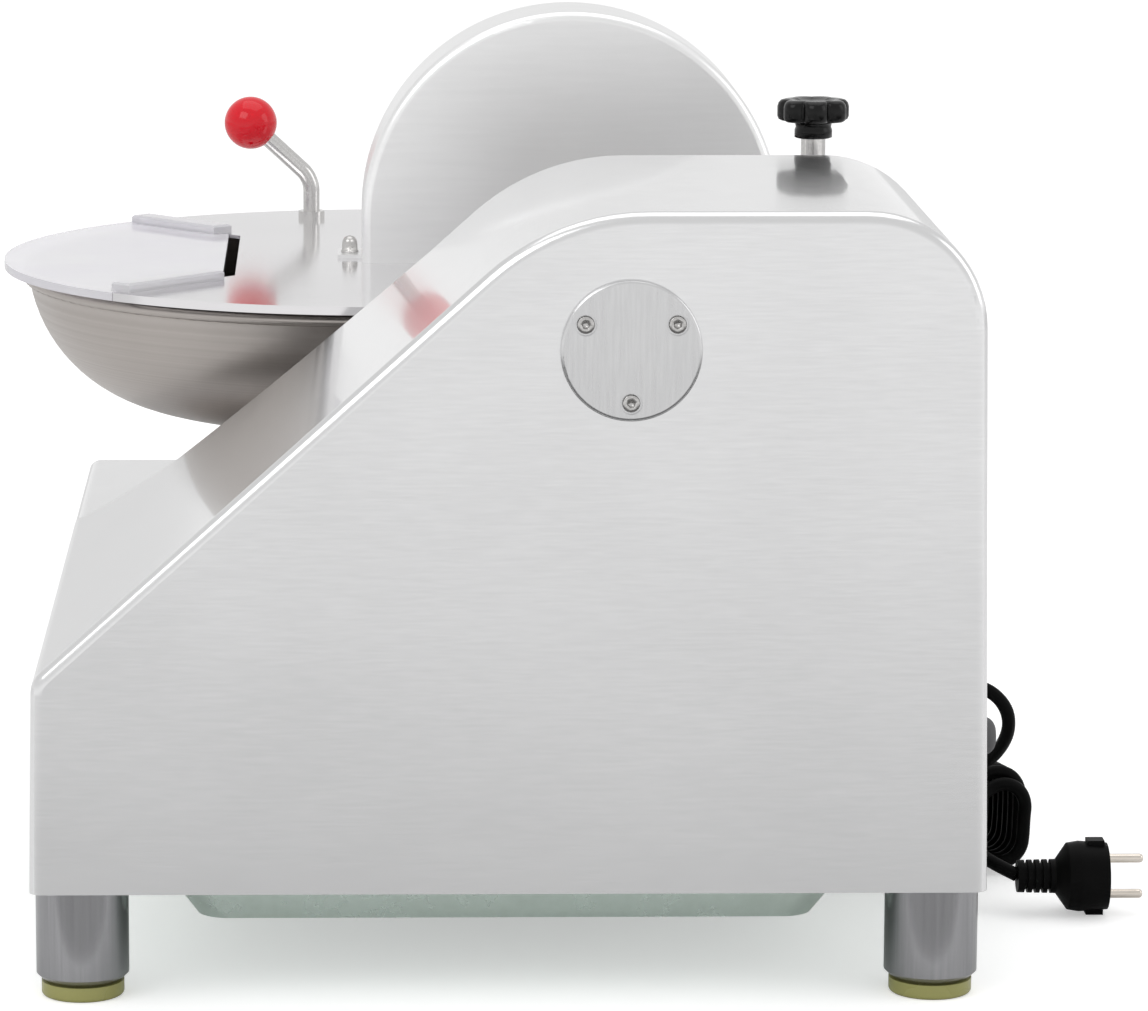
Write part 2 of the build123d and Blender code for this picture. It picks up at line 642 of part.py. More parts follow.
def make_cover_screw(side, height):
    """A socket-head screw sunk in the cover's recess."""
    seat = COVER_RECESS_DEPTH - COVER_THICKNESS
    top = seat - COVER_RECESS_DEPTH
    screw = rod_x(COVER_SCREW_HEAD, top, seat, side, height)
    screw = fillet(screw.edges().sort_by(Axis.X)[-1], COVER_RECESS_DEPTH * 0.2)
    plane = Plane(origin=place(top, side, height), x_dir=(0, 1, 0), z_dir=(1, 0, 0))
    socket = RegularPolygon(COVER_SCREW_DIAMETER * 0.42, 6)
    screw -= extrude(plane * socket, amount=-COVER_RECESS_DEPTH * 0.6)
    return screw + rod_x(COVER_SCREW_DIAMETER - 2 * RUNNING, seat, COVER_SCREW_TIP, side, height)


def make_cover_screws():
    screws = Part()
    for side, height in cover_screw_places():
        screws += make_cover_screw(side, height)
    return screws


# ---------------------------------------------------------------- knife shaft
def ring_x(outer, inner, run0, run1, side, height):
    return rod_x(outer, run0, run1, side, height) - rod_x(inner, run0, run1, side, height)


def make_bearing(run0, side, height, bore):
    """A sealed ball bearing: two rings with a sunk seal between them."""
    run1 = run0 + BEARING_WIDTH
    bearing = ring_x(BEARING_DIAMETER, bore + 2 * RUNNING, run0, run1, side, height)
    middle = (BEARING_DIAMETER + bore) / 2
    for start, end in ((run0 - 1, run0 + 0.8), (run1 - 0.8, run1 + 1)):
        bearing -= ring_x(middle + 9, middle - 9, start, end, side, height)
    return bearing


def make_knife_shaft():
    """Stepped shaft with a shoulder before the knives and a threaded nose."""
    shoulder = KNIFE_RUNS[0] - KNIFE_THICKNESS / 2
    seat_end = KNIFE_RUNS[1] + KNIFE_THICKNESS / 2
    shaft = rod_x(SHAFT_DIAMETER, REAR_BEARING_RUN - 1, COLLAR_START, SHAFT_SIDE, SHAFT_HEIGHT)
    shaft += rod_x(KNIFE_COLLAR_DIAMETER, COLLAR_START, shoulder, SHAFT_SIDE, SHAFT_HEIGHT)
    shaft += rod_x(KNIFE_SEAT_DIAMETER, shoulder, seat_end + KNIFE_NUT_HEIGHT + 3, SHAFT_SIDE, SHAFT_HEIGHT)
    nose = shaft.edges().sort_by(Axis.X)[0]
    return chamfer(nose, 1.5)


def make_knife(index):
    """A sickle blade on a hub ring: the outer edge sweeps out to a rounded tip and is ground."""
    root = KNIFE_HUB_RADIUS
    tip = (KNIFE_RADIUS * cos(radians(80)), KNIFE_RADIUS * sin(radians(80)))
    start = (root * cos(radians(-62)), root * sin(radians(-62)))
    finish = (root * cos(radians(150)), root * sin(radians(150)))
    outer = ThreePointArc(start, (KNIFE_RADIUS * 0.70, KNIFE_RADIUS * 0.30), tip)
    inner = ThreePointArc(tip, (KNIFE_RADIUS * 0.27, KNIFE_RADIUS * 0.59), finish)
    blade = make_face([outer, inner, Line(finish, (0, 0)), Line((0, 0), start)]) + Circle(root)
    blade -= Circle(KNIFE_SEAT_DIAMETER / 2 + RUNNING)
    body = extrude(blade, amount=KNIFE_THICKNESS)
    face = body.faces().sort_by(Axis.Z)[-1]
    edge = face.edges().sort_by_distance((KNIFE_RADIUS * 0.70, KNIFE_RADIUS * 0.30, KNIFE_THICKNESS))[0]
    body = chamfer(edge, KNIFE_THICKNESS * 0.8, KNIFE_BEVEL)
    place_in_plane = section_plane(KNIFE_RUNS[index] + KNIFE_THICKNESS / 2)
    turn = Pos(SHAFT_SIDE, SHAFT_HEIGHT, 0) * Rot(0, 0, KNIFE_TURN + 180 * index)
    return place_in_plane * turn * body


def make_spacer():
    start = KNIFE_RUNS[0] + KNIFE_THICKNESS / 2
    end = KNIFE_RUNS[1] - KNIFE_THICKNESS / 2
    bore = KNIFE_SEAT_DIAMETER + 2 * RUNNING
    return ring_x(KNIFE_COLLAR_DIAMETER, bore, start, end, SHAFT_SIDE, SHAFT_HEIGHT)


def hex_x(across, run0, run1, side, height):
    """A hexagonal bar along X, by its distance across corners."""
    middle = place(max(run0, run1), side, height)
    plane = Plane(origin=(middle.X, middle.Y, middle.Z), x_dir=(0, 1, 0), z_dir=(1, 0, 0))
    return extrude(plane * RegularPolygon(across / 2, 6), amount=abs(run1 - run0))


def make_knife_nut():
    start = KNIFE_RUNS[1] + KNIFE_THICKNESS / 2
    nut = hex_x(KNIFE_NUT_DIAMETER, start, start + KNIFE_NUT_HEIGHT, SHAFT_SIDE, SHAFT_HEIGHT)
    nut &= rod_x(KNIFE_NUT_DIAMETER - 2, start, start + KNIFE_NUT_HEIGHT, SHAFT_SIDE, SHAFT_HEIGHT)
    return nut - rod_x(KNIFE_SEAT_DIAMETER + 2 * RUNNING, start - 1, start + 20, SHAFT_SIDE, SHAFT_HEIGHT)


def make_sleeve():
    """Flanged tube that carries the shaft over the bowl's rim and ends in a plain bearing."""
    flange_end = SEAT_RUN + SLEEVE_FLANGE_THICKNESS
    sleeve = rod_x(SLEEVE_FLANGE_DIAMETER, SEAT_RUN, flange_end, SHAFT_SIDE, SHAFT_HEIGHT)
    sleeve = fillet(sleeve.edges().sort_by(Axis.X)[0], 2)
    sleeve += rod_x(SLEEVE_DIAMETER, flange_end, SLEEVE_END, SHAFT_SIDE, SHAFT_HEIGHT)
    sleeve -= rod_x(SLEEVE_BORE, SEAT_RUN - 1, SLEEVE_END - SLEEVE_LAND, SHAFT_SIDE, SHAFT_HEIGHT)
    sleeve -= rod_x(SHAFT_DIAMETER + 2 * RUNNING, SEAT_RUN, SLEEVE_END + 1, SHAFT_SIDE, SHAFT_HEIGHT)
    for side, height in sleeve_screw_places():
        sleeve -= rod_x(SLEEVE_SCREW + LOOSE, SEAT_RUN - 1, flange_end + 1, side, height)
    return sleeve


def cap_screw_far(diameter, seat, tip, side, height):
    """A socket-head screw along X with its head on the bowl's side of the seat."""
    head_height = diameter
    screw = rod_x(diameter * 1.6, seat, seat + head_height, side, height)
    middle = place(seat + head_height, side, height)
    plane = Plane(origin=(middle.X, middle.Y, middle.Z), x_dir=(0, 1, 0), z_dir=(1, 0, 0))
    screw -= extrude(plane * RegularPolygon(diameter * 0.45, 6), amount=head_height * 0.6)
    return screw + rod_x(diameter - 2 * RUNNING, seat, tip, side, height)


def make_sleeve_screws():
    screws = Part()
    seat = SEAT_RUN + SLEEVE_FLANGE_THICKNESS
    for side, height in sleeve_screw_places():
        screws += cap_screw_far(SLEEVE_SCREW, seat, SEAT_RUN - 12, side, height)
    return screws


def make_pulley(diameter, bore, height):
    """A grooved pulley with a hub towards the motor."""
    run0 = PULLEY_RUN - PULLEY_WIDTH / 2
    run1 = PULLEY_RUN + PULLEY_WIDTH / 2
    pulley = rod_x(diameter, run0, run1, SHAFT_SIDE, height)
    half = BELT_WIDTH / 2 + LOOSE
    floor = diameter - 2 * (BELT_THICKNESS + BELT_LANDING)
    pulley -= ring_x(diameter + 1, floor, PULLEY_RUN - half, PULLEY_RUN + half, SHAFT_SIDE, height)
    pulley += rod_x(bore + 18, run1, run1 + 8, SHAFT_SIDE, height)
    return pulley - rod_x(bore, run0 - 1, run1 + 9, SHAFT_SIDE, height)


def belt_loop(shrink):
    """The outline of the belt, drawn in from the pulleys' rims."""
    upper = KNIFE_PULLEY_DIAMETER / 2 - shrink
    lower = MOTOR_PULLEY_DIAMETER / 2 - shrink
    span = SHAFT_HEIGHT - MOTOR_HEIGHT
    lean = (lower - upper) / span
    across = sqrt(1 - lean**2)
    high = SHAFT_HEIGHT + upper * lean
    low = MOTOR_HEIGHT + lower * lean
    corners = [
        (SHAFT_SIDE + upper * across, high),
        (SHAFT_SIDE - upper * across, high),
        (SHAFT_SIDE - lower * across, low),
        (SHAFT_SIDE + lower * across, low),
    ]
    loop = make_face(Polyline(*corners, close=True))
    loop += Pos(SHAFT_SIDE, SHAFT_HEIGHT) * Circle(upper)
    return loop + Pos(SHAFT_SIDE, MOTOR_HEIGHT) * Circle(lower)


def make_belt():
    face = belt_loop(0) - belt_loop(BELT_THICKNESS)
    return push_x(face, PULLEY_RUN - BELT_WIDTH / 2, PULLEY_RUN + BELT_WIDTH / 2)


# ---------------------------------------------------------------- motor and worm drive
def make_motor():
    """Flange-mounted motor: a ribbed barrel between two end bells."""
    start = WEB_RUN + WEB_THICKNESS
    radius = MOTOR_DIAMETER / 2
    end = start + MOTOR_LENGTH
    profile = Polyline(
        (start, MOTOR_SHAFT_DIAMETER / 2 + 1),
        (start, radius + MOTOR_FLANGE_MARGIN),
        (start + MOTOR_FLANGE_THICKNESS, radius + MOTOR_FLANGE_MARGIN),
        (start + MOTOR_FLANGE_THICKNESS, radius - 8),
        (start + 22, radius - 4),
        (end - 18, radius - 4),
        (end, radius - 16),
        (end, MOTOR_SHAFT_DIAMETER / 2 + 1),
        close=True,
    )
    motor = turned_along_x(make_face(profile), SHAFT_SIDE, MOTOR_HEIGHT)
    for index in range(MOTOR_RIBS):
        rib = Pos(0, radius - 3) * Rectangle(2.5, 6)
        rib = Rot(0, 0, 360 / MOTOR_RIBS * (index + 0.5)) * rib
        motor += push_x(Pos(SHAFT_SIDE, MOTOR_HEIGHT) * rib, start + 24, end - 24)
    for side, height in motor_bolt_places():
        motor -= rod_x(MOTOR_BOLT + LOOSE, start - 1, start + MOTOR_FLANGE_THICKNESS + 1, side, height)
    return motor


def make_motor_bolts():
    bolts = Part()
    face = WEB_RUN + WEB_THICKNESS + MOTOR_FLANGE_THICKNESS
    for side, height in motor_bolt_places():
        bolts += hex_x(MOTOR_BOLT * 1.8, face, face + 5, side, height)
        bolts += rod_x(MOTOR_BOLT - 2 * RUNNING, WEB_RUN - 8, face, side, height)
    return bolts


def tooth_outline(root_radius, tip_radius, pitch_radius):
    """Half-widths of a straight-flanked tooth at its root and tip, thicker below the pitch line."""
    flank = tan(radians(TOOTH_FLANK_ANGLE))
    at_root = TOOTH_HALF_WIDTH + (pitch_radius - root_radius) * flank
    at_tip = TOOTH_HALF_WIDTH - (tip_radius - pitch_radius) * flank
    return at_root, at_tip


def make_worm_thread():
    """Single right-handed thread whose crest meets the wheel half way along the worm."""
    root = WORM_RADIUS - TOOTH_DEPTH
    tip = WORM_RADIUS + WHEEL_MODULE
    at_root, at_tip = tooth_outline(root, tip, WORM_RADIUS)
    path = Helix(TOOTH_PITCH, WORM_LENGTH, WORM_RADIUS)
    outline = Polyline((root, -at_root), (tip, -at_tip), (tip, at_tip), (root, at_root), close=True)
    thread = sweep(make_face(Plane.XZ * outline), path, is_frenet=True)
    start = place(BOWL_RUN + WORM_LENGTH / 2, SHAFT_SIDE, MOTOR_HEIGHT)
    along = Plane(origin=start, x_dir=(0, -1, 0), z_dir=(1, 0, 0))
    return along * thread


def make_motor_shaft():
    """Motor shaft, carried on under the platform, with the worm cut in it below the bowl's rim."""
    end = WORM_BLOCK_RUNS[1] + 12
    shaft = rod_x(MOTOR_SHAFT_DIAMETER, PULLEY_RUN - 14, end, SHAFT_SIDE, MOTOR_HEIGHT)
    half = WORM_LENGTH / 2
    root = 2 * (WORM_RADIUS - TOOTH_DEPTH) + 2 * RUNNING
    shaft += rod_x(root, BOWL_RUN - half, BOWL_RUN + half, SHAFT_SIDE, MOTOR_HEIGHT)
    return shaft + make_worm_thread()


def make_worm_blocks():
    """Bearing blocks bolted up under the platform at both ends of the worm."""
    blocks = Part()
    for run in WORM_BLOCK_RUNS:
        half = MOTOR_SHAFT_DIAMETER / 2 + WORM_BLOCK_MARGIN
        near = run - WORM_BLOCK_WIDTH / 2
        far = run + WORM_BLOCK_WIDTH / 2
        body = block(near, far, SHAFT_SIDE - half, SHAFT_SIDE + half, MOTOR_HEIGHT, PLATFORM_UNDER)
        body += rod_x(2 * half, near, far, SHAFT_SIDE, MOTOR_HEIGHT)
        bore = MOTOR_SHAFT_DIAMETER + 2 * RUNNING
        blocks += body - rod_x(bore, near - 1, far + 1, SHAFT_SIDE, MOTOR_HEIGHT)
    return blocks


def wheel_section():
    """Outline of the toothed wheel, with a tooth gap at its local y axis."""
    root = WHEEL_RADIUS - TOOTH_DEPTH
    tip = WHEEL_RADIUS + WHEEL_MODULE
    at_root, at_tip = tooth_outline(root, tip, WHEEL_RADIUS)
    corners = [(root, -at_root), (tip, -at_tip), (tip, at_tip), (root, at_root)]
    points = []
    for index in range(WHEEL_TEETH):
        middle = 90 + 360 / WHEEL_TEETH * (index + 0.5)
        for radius, half in corners:
            angle = radians(middle) + half / radius
            points.append((radius * cos(angle), radius * sin(angle)))
    return make_face(Polyline(*points, close=True))


def make_worm_wheel():
    """Helical wheel fixed to the bowl's spindle, its teeth leaning with the worm's thread."""
    low = MOTOR_HEIGHT - WHEEL_WIDTH / 2
    high = MOTOR_HEIGHT + WHEEL_WIDTH / 2
    lean = TOOTH_PITCH / (2 * pi * WORM_RADIUS)
    twist = degrees(WHEEL_WIDTH * lean / WHEEL_RADIUS)
    section = wheel_section()
    lower = Pos(BOWL_X, BOWL_Y, low) * Rot(0, 0, -twist / 2) * section
    upper = Pos(BOWL_X, BOWL_Y, high) * Rot(0, 0, twist / 2) * section
    wheel = loft([lower, upper], ruled=True)
    rim = 2 * (WHEEL_RADIUS - TOOTH_DEPTH - WHEEL_RIM_THICKNESS)
    for start, end in ((low - 1, low + WHEEL_RECESS), (high - WHEEL_RECESS, high + 1)):
        wheel -= rod_z(rim, start, end, BOWL_RUN, BOWL_SIDE)
    hub = TUBE_GAP / 2
    wheel += rod_z(WHEEL_HUB_DIAMETER, low - hub, high + hub, BOWL_RUN, BOWL_SIDE)
    return wheel - rod_z(SPINDLE_DIAMETER, low - hub - 1, high + hub + 1, BOWL_RUN, BOWL_SIDE)


# ---------------------------------------------------------------- bowl
def make_bowl():
    """Spun trough with a rolled rim and a central hub."""
    middle = (TROUGH_PITCH_RADIUS, TROUGH_CENTRE_HEIGHT)
    ring = Pos(*middle) * (Circle(TROUGH_RADIUS) - Circle(TROUGH_RADIUS - BOWL_SHEET))
    square = Rectangle(2 * TROUGH_RADIUS, 2 * TROUGH_RADIUS)
    outside = Pos(TROUGH_PITCH_RADIUS + TROUGH_RADIUS, BOWL_RIM_HEIGHT - TROUGH_RADIUS) * square
    inside = Pos(TROUGH_PITCH_RADIUS - TROUGH_RADIUS, BOWL_HUB_TOP - TROUGH_RADIUS) * square
    section = (ring & outside) + (ring & inside)
    rise = BOWL_RIM_HEIGHT - TROUGH_CENTRE_HEIGHT
    rim = TROUGH_PITCH_RADIUS + sqrt((TROUGH_RADIUS - BOWL_SHEET / 2) ** 2 - rise**2)
    section += Pos(rim + RIM_BEAD_RADIUS / 2, BOWL_RIM_HEIGHT) * Circle(RIM_BEAD_RADIUS)
    drop = BOWL_HUB_TOP - TROUGH_CENTRE_HEIGHT
    hub = TROUGH_PITCH_RADIUS - sqrt((TROUGH_RADIUS - BOWL_SHEET / 2) ** 2 - drop**2)
    bore = SPINDLE_STUD_DIAMETER / 2 + RUNNING
    plate = Rectangle(hub - bore, BOWL_HUB_SHEET)
    section += Pos((hub + bore) / 2, BOWL_HUB_TOP - BOWL_HUB_SHEET / 2) * plate
    return turned_about_bowl(section)


def make_spindle():
    """Bowl spindle: journal, driving flange and a stud for the centre nut."""
    flange = BOWL_HUB_TOP - BOWL_HUB_SHEET
    under = flange - SPINDLE_DRIVE_HEIGHT
    spindle = rod_z(SPINDLE_DIAMETER, SPINDLE_LOW, under, BOWL_RUN, BOWL_SIDE)
    spindle += rod_z(SPINDLE_DRIVE_DIAMETER, under, flange, BOWL_RUN, BOWL_SIDE)
    return spindle + rod_z(SPINDLE_STUD_DIAMETER, flange, BOWL_HUB_TOP + 9, BOWL_RUN, BOWL_SIDE)


def make_bowl_nut():
    """Domed hand nut that holds the bowl down."""
    nut = rod_z(BOWL_NUT_DIAMETER, BOWL_HUB_TOP, BOWL_HUB_TOP + 12, BOWL_RUN, BOWL_SIDE)
    nut = fillet(nut.edges().group_by(Axis.Z)[-1], 5)
    for x, y in ring_places(8, BOWL_NUT_DIAMETER + 5, 0):
        nut -= rod_z(9, BOWL_HUB_TOP - 1, BOWL_HUB_TOP + 20, BOWL_RUN + x, BOWL_SIDE + y)
    bore = SPINDLE_STUD_DIAMETER + 2 * RUNNING
    return nut - rod_z(bore, BOWL_HUB_TOP - 1, BOWL_HUB_TOP + 9.5, BOWL_RUN, BOWL_SIDE)


def make_spindle_tube():
    """Flanged bearing tube that stands on the platform under the bowl."""
    high = PLATFORM_TOP + SPINDLE_FLANGE_THICKNESS
    tube = rod_z(SPINDLE_FLANGE_DIAMETER, PLATFORM_TOP, high, BOWL_RUN, BOWL_SIDE)
    tube = fillet(tube.edges().group_by(Axis.Z)[-1], 2.5)
    tube += rod_z(SPINDLE_TUBE_DIAMETER, TUBE_LOW, SPINDLE_TUBE_TOP, BOWL_RUN, BOWL_SIDE)
    tube -= rod_z(SPINDLE_DIAMETER + 8, TUBE_LOW - 1, SPINDLE_TUBE_TOP + 1, BOWL_RUN, BOWL_SIDE)
    bearing = BEARING_DIAMETER + 2 * RUNNING
    tube -= rod_z(bearing, TUBE_LOW - 1, TUBE_LOW + BEARING_WIDTH, BOWL_RUN, BOWL_SIDE)
    tube -= rod_z(bearing, SPINDLE_TUBE_TOP - BEARING_WIDTH, SPINDLE_TUBE_TOP + 1, BOWL_RUN, BOWL_SIDE)
    for run, side in spindle_bolt_places():
        tube -= rod_z(SPINDLE_BOLT + LOOSE, PLATFORM_TOP - 1, high + 1, run, side)
    return tube


def make_spindle_bearings():
    bearings = Part()
    for low in (TUBE_LOW, SPINDLE_TUBE_TOP - BEARING_WIDTH):
        bearings += rod_z(BEARING_DIAMETER, low, low + BEARING_WIDTH, BOWL_RUN, BOWL_SIDE)
        bore = SPINDLE_DIAMETER + 2 * RUNNING
        bearings -= rod_z(bore, low - 1, low + BEARING_WIDTH + 1, BOWL_RUN, BOWL_SIDE)
    return bearings


def make_spindle_bolts():
    bolts = Part()
    seat = PLATFORM_TOP + SPINDLE_FLANGE_THICKNESS
    head = extrude(RegularPolygon(SPINDLE_BOLT * 0.9, 6), amount=5)
    for run, side in spindle_bolt_places():
        bolts += Pos(*place(run, side, seat)) * head
        bolts += rod_z(SPINDLE_BOLT - 2 * RUNNING, PLATFORM_UNDER - 6, seat, run, side)
    return bolts


# ---------------------------------------------------------------- lid
def wedge(half_angle, reach):
    """A sector that opens towards the operator from the bowl's axis."""
    x = reach * sin(radians(half_angle))
    y = -reach * cos(radians(half_angle))
    return make_face(Polyline((0, 0), (x, y), (-x, y), close=True))


def lid_plane(height):
    return Pos(BOWL_X, BOWL_Y, height)


def shaft_slot(height0, height1):
    """The gap in the lid that lets it swing up past the shaft's sleeve."""
    half = SLEEVE_DIAMETER / 2 + OPEN_GAP
    near = BOWL_RUN - LID_RADIUS - 5
    return block(near, DOME_NEAR + DOME_SHEET + 1, SHAFT_SIDE - half, SHAFT_SIDE + half, height0, height1)


def make_lid():
    """Round lid with a turned-down hem, a rear tongue and openings for feed, knives and sleeve."""
    feed = wedge(WINDOW_HALF_ANGLE, 2 * LID_RADIUS)
    feed &= Pos(0, -WINDOW_SLOT_RADIUS - LID_RADIUS) * Rectangle(4 * LID_RADIUS, 2 * LID_RADIUS)
    disc = lid_plane(LID_UNDER) * extrude(Circle(LID_RADIUS), amount=LID_SHEET)
    half = TONGUE_WIDTH / 2
    disc += block(BOWL_RUN - half, BOWL_RUN + half, SHAFT_SIDE, TONGUE_END_SIDE, LID_UNDER, LID_TOP)
    hem = extrude(Circle(LID_RADIUS) - Circle(LID_RADIUS - LID_SHEET), amount=LID_HEM - LID_SHEET)
    hem = lid_plane(LID_TOP - LID_HEM) * hem
    hem -= block(BOWL_RUN - half, BOWL_RUN + half, SHAFT_SIDE, TONGUE_END_SIDE, LID_TOP - 20, LID_UNDER)
    lid = disc + hem
    lid -= lid_plane(LID_TOP - 10) * extrude(feed, amount=20)
    inner = DOME_RADIUS - DOME_SHEET
    knife_slot = block(
        DOME_NEAR + DOME_SHEET,
        DOME_FAR - DOME_SHEET,
        DOME_SIDE - inner,
        DOME_SIDE + inner,
        LID_TOP - 10,
        LID_TOP + 10,
    )
    lid -= knife_slot
    lid -= shaft_slot(LID_TOP - 10, LID_TOP + 10)
    for side in dome_bolt_sides():
        lid -= rod_z(DOME_BOLT_DIAMETER + LOOSE, LID_TOP - 5, LID_TOP + 5, BOWL_RUN, side)
    lid -= rod_z(HANDLE_STUD_DIAMETER + 2 * RUNNING, LID_TOP - 5, LID_TOP + 5, HANDLE_RUN, HANDLE_SIDE)
    return lid


def make_window():
    """Clear plate that fills the feed opening but for a slot along its inner edge."""
    angle = WINDOW_HALF_ANGLE - 0.15
    plate = wedge(angle, 2 * LID_RADIUS) & Circle(LID_RADIUS)
    inner = WINDOW_SLOT_RADIUS + WINDOW_SLOT_WIDTH
    plate &= Pos(0, -inner - LID_RADIUS) * Rectangle(4 * LID_RADIUS, 2 * LID_RADIUS)
    return lid_plane(LID_TOP - WINDOW_THICKNESS) * extrude(plate, amount=WINDOW_THICKNESS)


def make_strips():
    """Clear clamping strips over the joints between the window and the lid."""
    strips = Part()
    middle = LID_RADIUS - STRIP_EDGE_INSET - STRIP_LENGTH / 2
    for angle in (-WINDOW_HALF_ANGLE, WINDOW_HALF_ANGLE):
        bar = Box(STRIP_WIDTH, STRIP_LENGTH, STRIP_THICKNESS)
        bar = Pos(0, -middle, STRIP_THICKNESS / 2) * bar
        bar = chamfer(bar.edges().group_by(Axis.Z)[-1], 1.2)
        strips += lid_plane(LID_TOP) * Rot(0, 0, angle) * bar
    return strips


def dome_bolt_sides():
    reach = DOME_RADIUS + DOME_TAB_LENGTH / 2
    return (DOME_SIDE - reach, DOME_SIDE + reach - 1.5)


def dome_form(inset):
    """Half-round box, open below, drawn in by an inset."""
    radius = DOME_RADIUS - inset
    low = LID_TOP - (1.0 if inset else 0.0)
    skirt = Pos(DOME_SIDE, (SHAFT_HEIGHT + low) / 2) * Rectangle(2 * radius, SHAFT_HEIGHT - low)
    upper = Pos(DOME_SIDE, SHAFT_HEIGHT) * Circle(radius)
    upper &= Pos(DOME_SIDE, SHAFT_HEIGHT + radius / 2) * Rectangle(2 * radius, radius)
    solid = push_x(skirt + upper, DOME_NEAR + inset, DOME_FAR - inset)
    rims = [e for e in solid.edges() if e.center().Z > LID_TOP + 2 and abs(e.center().X - BOWL_X) > 20]
    return fillet(rims, DOME_EDGE_RADIUS - inset)


def make_dome():
    """Knife cover: a deep half-round shell with a keyhole for the sleeve and two fixing tabs."""
    dome = dome_form(0) - dome_form(DOME_SHEET)
    half = SLEEVE_DIAMETER / 2 + OPEN_GAP
    keyhole = Pos(SHAFT_SIDE, SHAFT_HEIGHT) * Circle(half)
    drop = SHAFT_HEIGHT - LID_TOP + 4
    keyhole += Pos(SHAFT_SIDE, SHAFT_HEIGHT - drop / 2) * Rectangle(2 * half, drop)
    dome -= push_x(keyhole, DOME_NEAR - 1, DOME_NEAR + 10)
    for side in dome_bolt_sides():
        wall = DOME_SIDE - DOME_RADIUS if side < DOME_SIDE else DOME_SIDE + DOME_RADIUS
        outer = 2 * side - wall
        inner = wall + 0.5 if side < DOME_SIDE else wall - 0.5
        half_tab = DOME_TAB_WIDTH / 2
        tab = block(BOWL_RUN - half_tab, BOWL_RUN + half_tab, outer, inner, LID_TOP, LID_TOP + DOME_SHEET)
        dome += tab - rod_z(DOME_BOLT_DIAMETER + LOOSE, LID_TOP - 5, LID_TOP + 5, BOWL_RUN, side)
    return dome


def make_dome_bolts():
    """Bolts up through the lid with domed nuts on the tabs."""
    bolts = Part()
    seat = LID_TOP + DOME_SHEET
    for side in dome_bolt_sides():
        nut = rod_z(DOME_BOLT_DIAMETER * 1.7, seat, seat + 5, BOWL_RUN, side)
        cap = Pos(*place(BOWL_RUN, side, seat + 5)) * Sphere(DOME_BOLT_DIAMETER * 0.75)
        bolts += nut + cap
        bolts += rod_z(DOME_BOLT_DIAMETER - 2 * RUNNING, LID_UNDER, seat, BOWL_RUN, side)
        bolts += rod_z(DOME_BOLT_DIAMETER * 1.7, LID_UNDER - 2, LID_UNDER, BOWL_RUN, side)
    return bolts


def make_handle():
    """Bent rod with a foot collar, screwed into the lid."""
    base = place(HANDLE_RUN, HANDLE_SIDE, LID_TOP)
    knee = base + Vector(0, 0, HANDLE_RISE)
    tip = base + Vector(0, -BALL_REACH, BALL_RISE)
    path = FilletPolyline(base, knee, tip, radius=HANDLE_BEND_RADIUS)
    plane = Plane(origin=path @ 0, z_dir=path % 0)
    handle = sweep(plane * Circle(HANDLE_DIAMETER / 2), path)
    handle += rod_z(HANDLE_FOOT_DIAMETER, LID_TOP, LID_TOP + 4, HANDLE_RUN, HANDLE_SIDE)
    return handle + rod_z(HANDLE_STUD_DIAMETER, LID_UNDER, LID_TOP, HANDLE_RUN, HANDLE_SIDE)


def ball_centre():
    return place(HANDLE_RUN, HANDLE_SIDE - BALL_REACH, LID_TOP + BALL_RISE)


def make_ball(handle):
    """Ball grip bored for the rod."""
    ball = Pos(*ball_centre()) * Sphere(BALL_DIAMETER / 2)
    return ball - handle


def arm_runs():
    reach = DOME_WIDTH / 2 + HINGE_ARM_GAP + HINGE_ARM_WIDTH / 2
    return (BOWL_RUN - reach, BOWL_RUN + reach)


def make_arm(run):
    """A hinge arm: a foot welded to the tongue and a knuckle round the hinge rod."""
    foot = Rectangle(ARM_LENGTH, ARM_FOOT)
    arm = Pos(HINGE_SIDE - ARM_LENGTH / 2, LID_TOP + ARM_FOOT / 2) * foot
    arm += Pos(HINGE_SIDE, HINGE_HEIGHT) * Circle(HINGE_KNUCKLE_DIAMETER / 2)
    arm -= Pos(HINGE_SIDE, HINGE_HEIGHT) * Circle(HINGE_ROD_DIAMETER / 2 + RUNNING)
    half = HINGE_ARM_WIDTH / 2
    solid = push_x(arm, run - half, run + half)
    toe = solid.edges().filter_by(Axis.X).sort_by(Axis.Y)[:2].sort_by(Axis.Z)[-1]
    return chamfer(toe, ARM_FOOT * 0.6)


# ---------------------------------------------------------------- hinge clamp and knob
def make_clamp():
    """Split block bolted to the housing; its stud pinches the bore round the hinge rod."""
    side0, side1, low, high = clamp_seat(0)
    clamp = block(SEAT_RUN, SEAT_RUN + CLAMP_RUN, side0, side1, low, high)
    clamp = fillet(clamp.edges().filter_by(Axis.X), 5)
    bore = HINGE_ROD_DIAMETER + 2 * RUNNING
    clamp -= rod_x(bore, SEAT_RUN - 1, SEAT_RUN + CLAMP_RUN + 1, HINGE_SIDE, HINGE_HEIGHT)
    slit = CLAMP_SLIT / 2
    near = SEAT_RUN - 1
    far = SEAT_RUN + CLAMP_RUN + 1
    clamp -= block(near, far, side0 - 1, HINGE_SIDE, HINGE_HEIGHT - slit, HINGE_HEIGHT + slit)
    clamp -= rod_z(STUD_THREAD + 2 * RUNNING, low + 4, high + 1, STUD_RUN, STUD_SIDE)
    for side, height in clamp_screw_places():
        clamp -= rod_x(CLAMP_SCREW + LOOSE, near, far, side, height)
    return clamp


def make_clamp_screws():
    screws = Part()
    for side, height in clamp_screw_places():
        screws += cap_screw_far(CLAMP_SCREW, SEAT_RUN + CLAMP_RUN, SEAT_RUN - 18, side, height)
    return screws


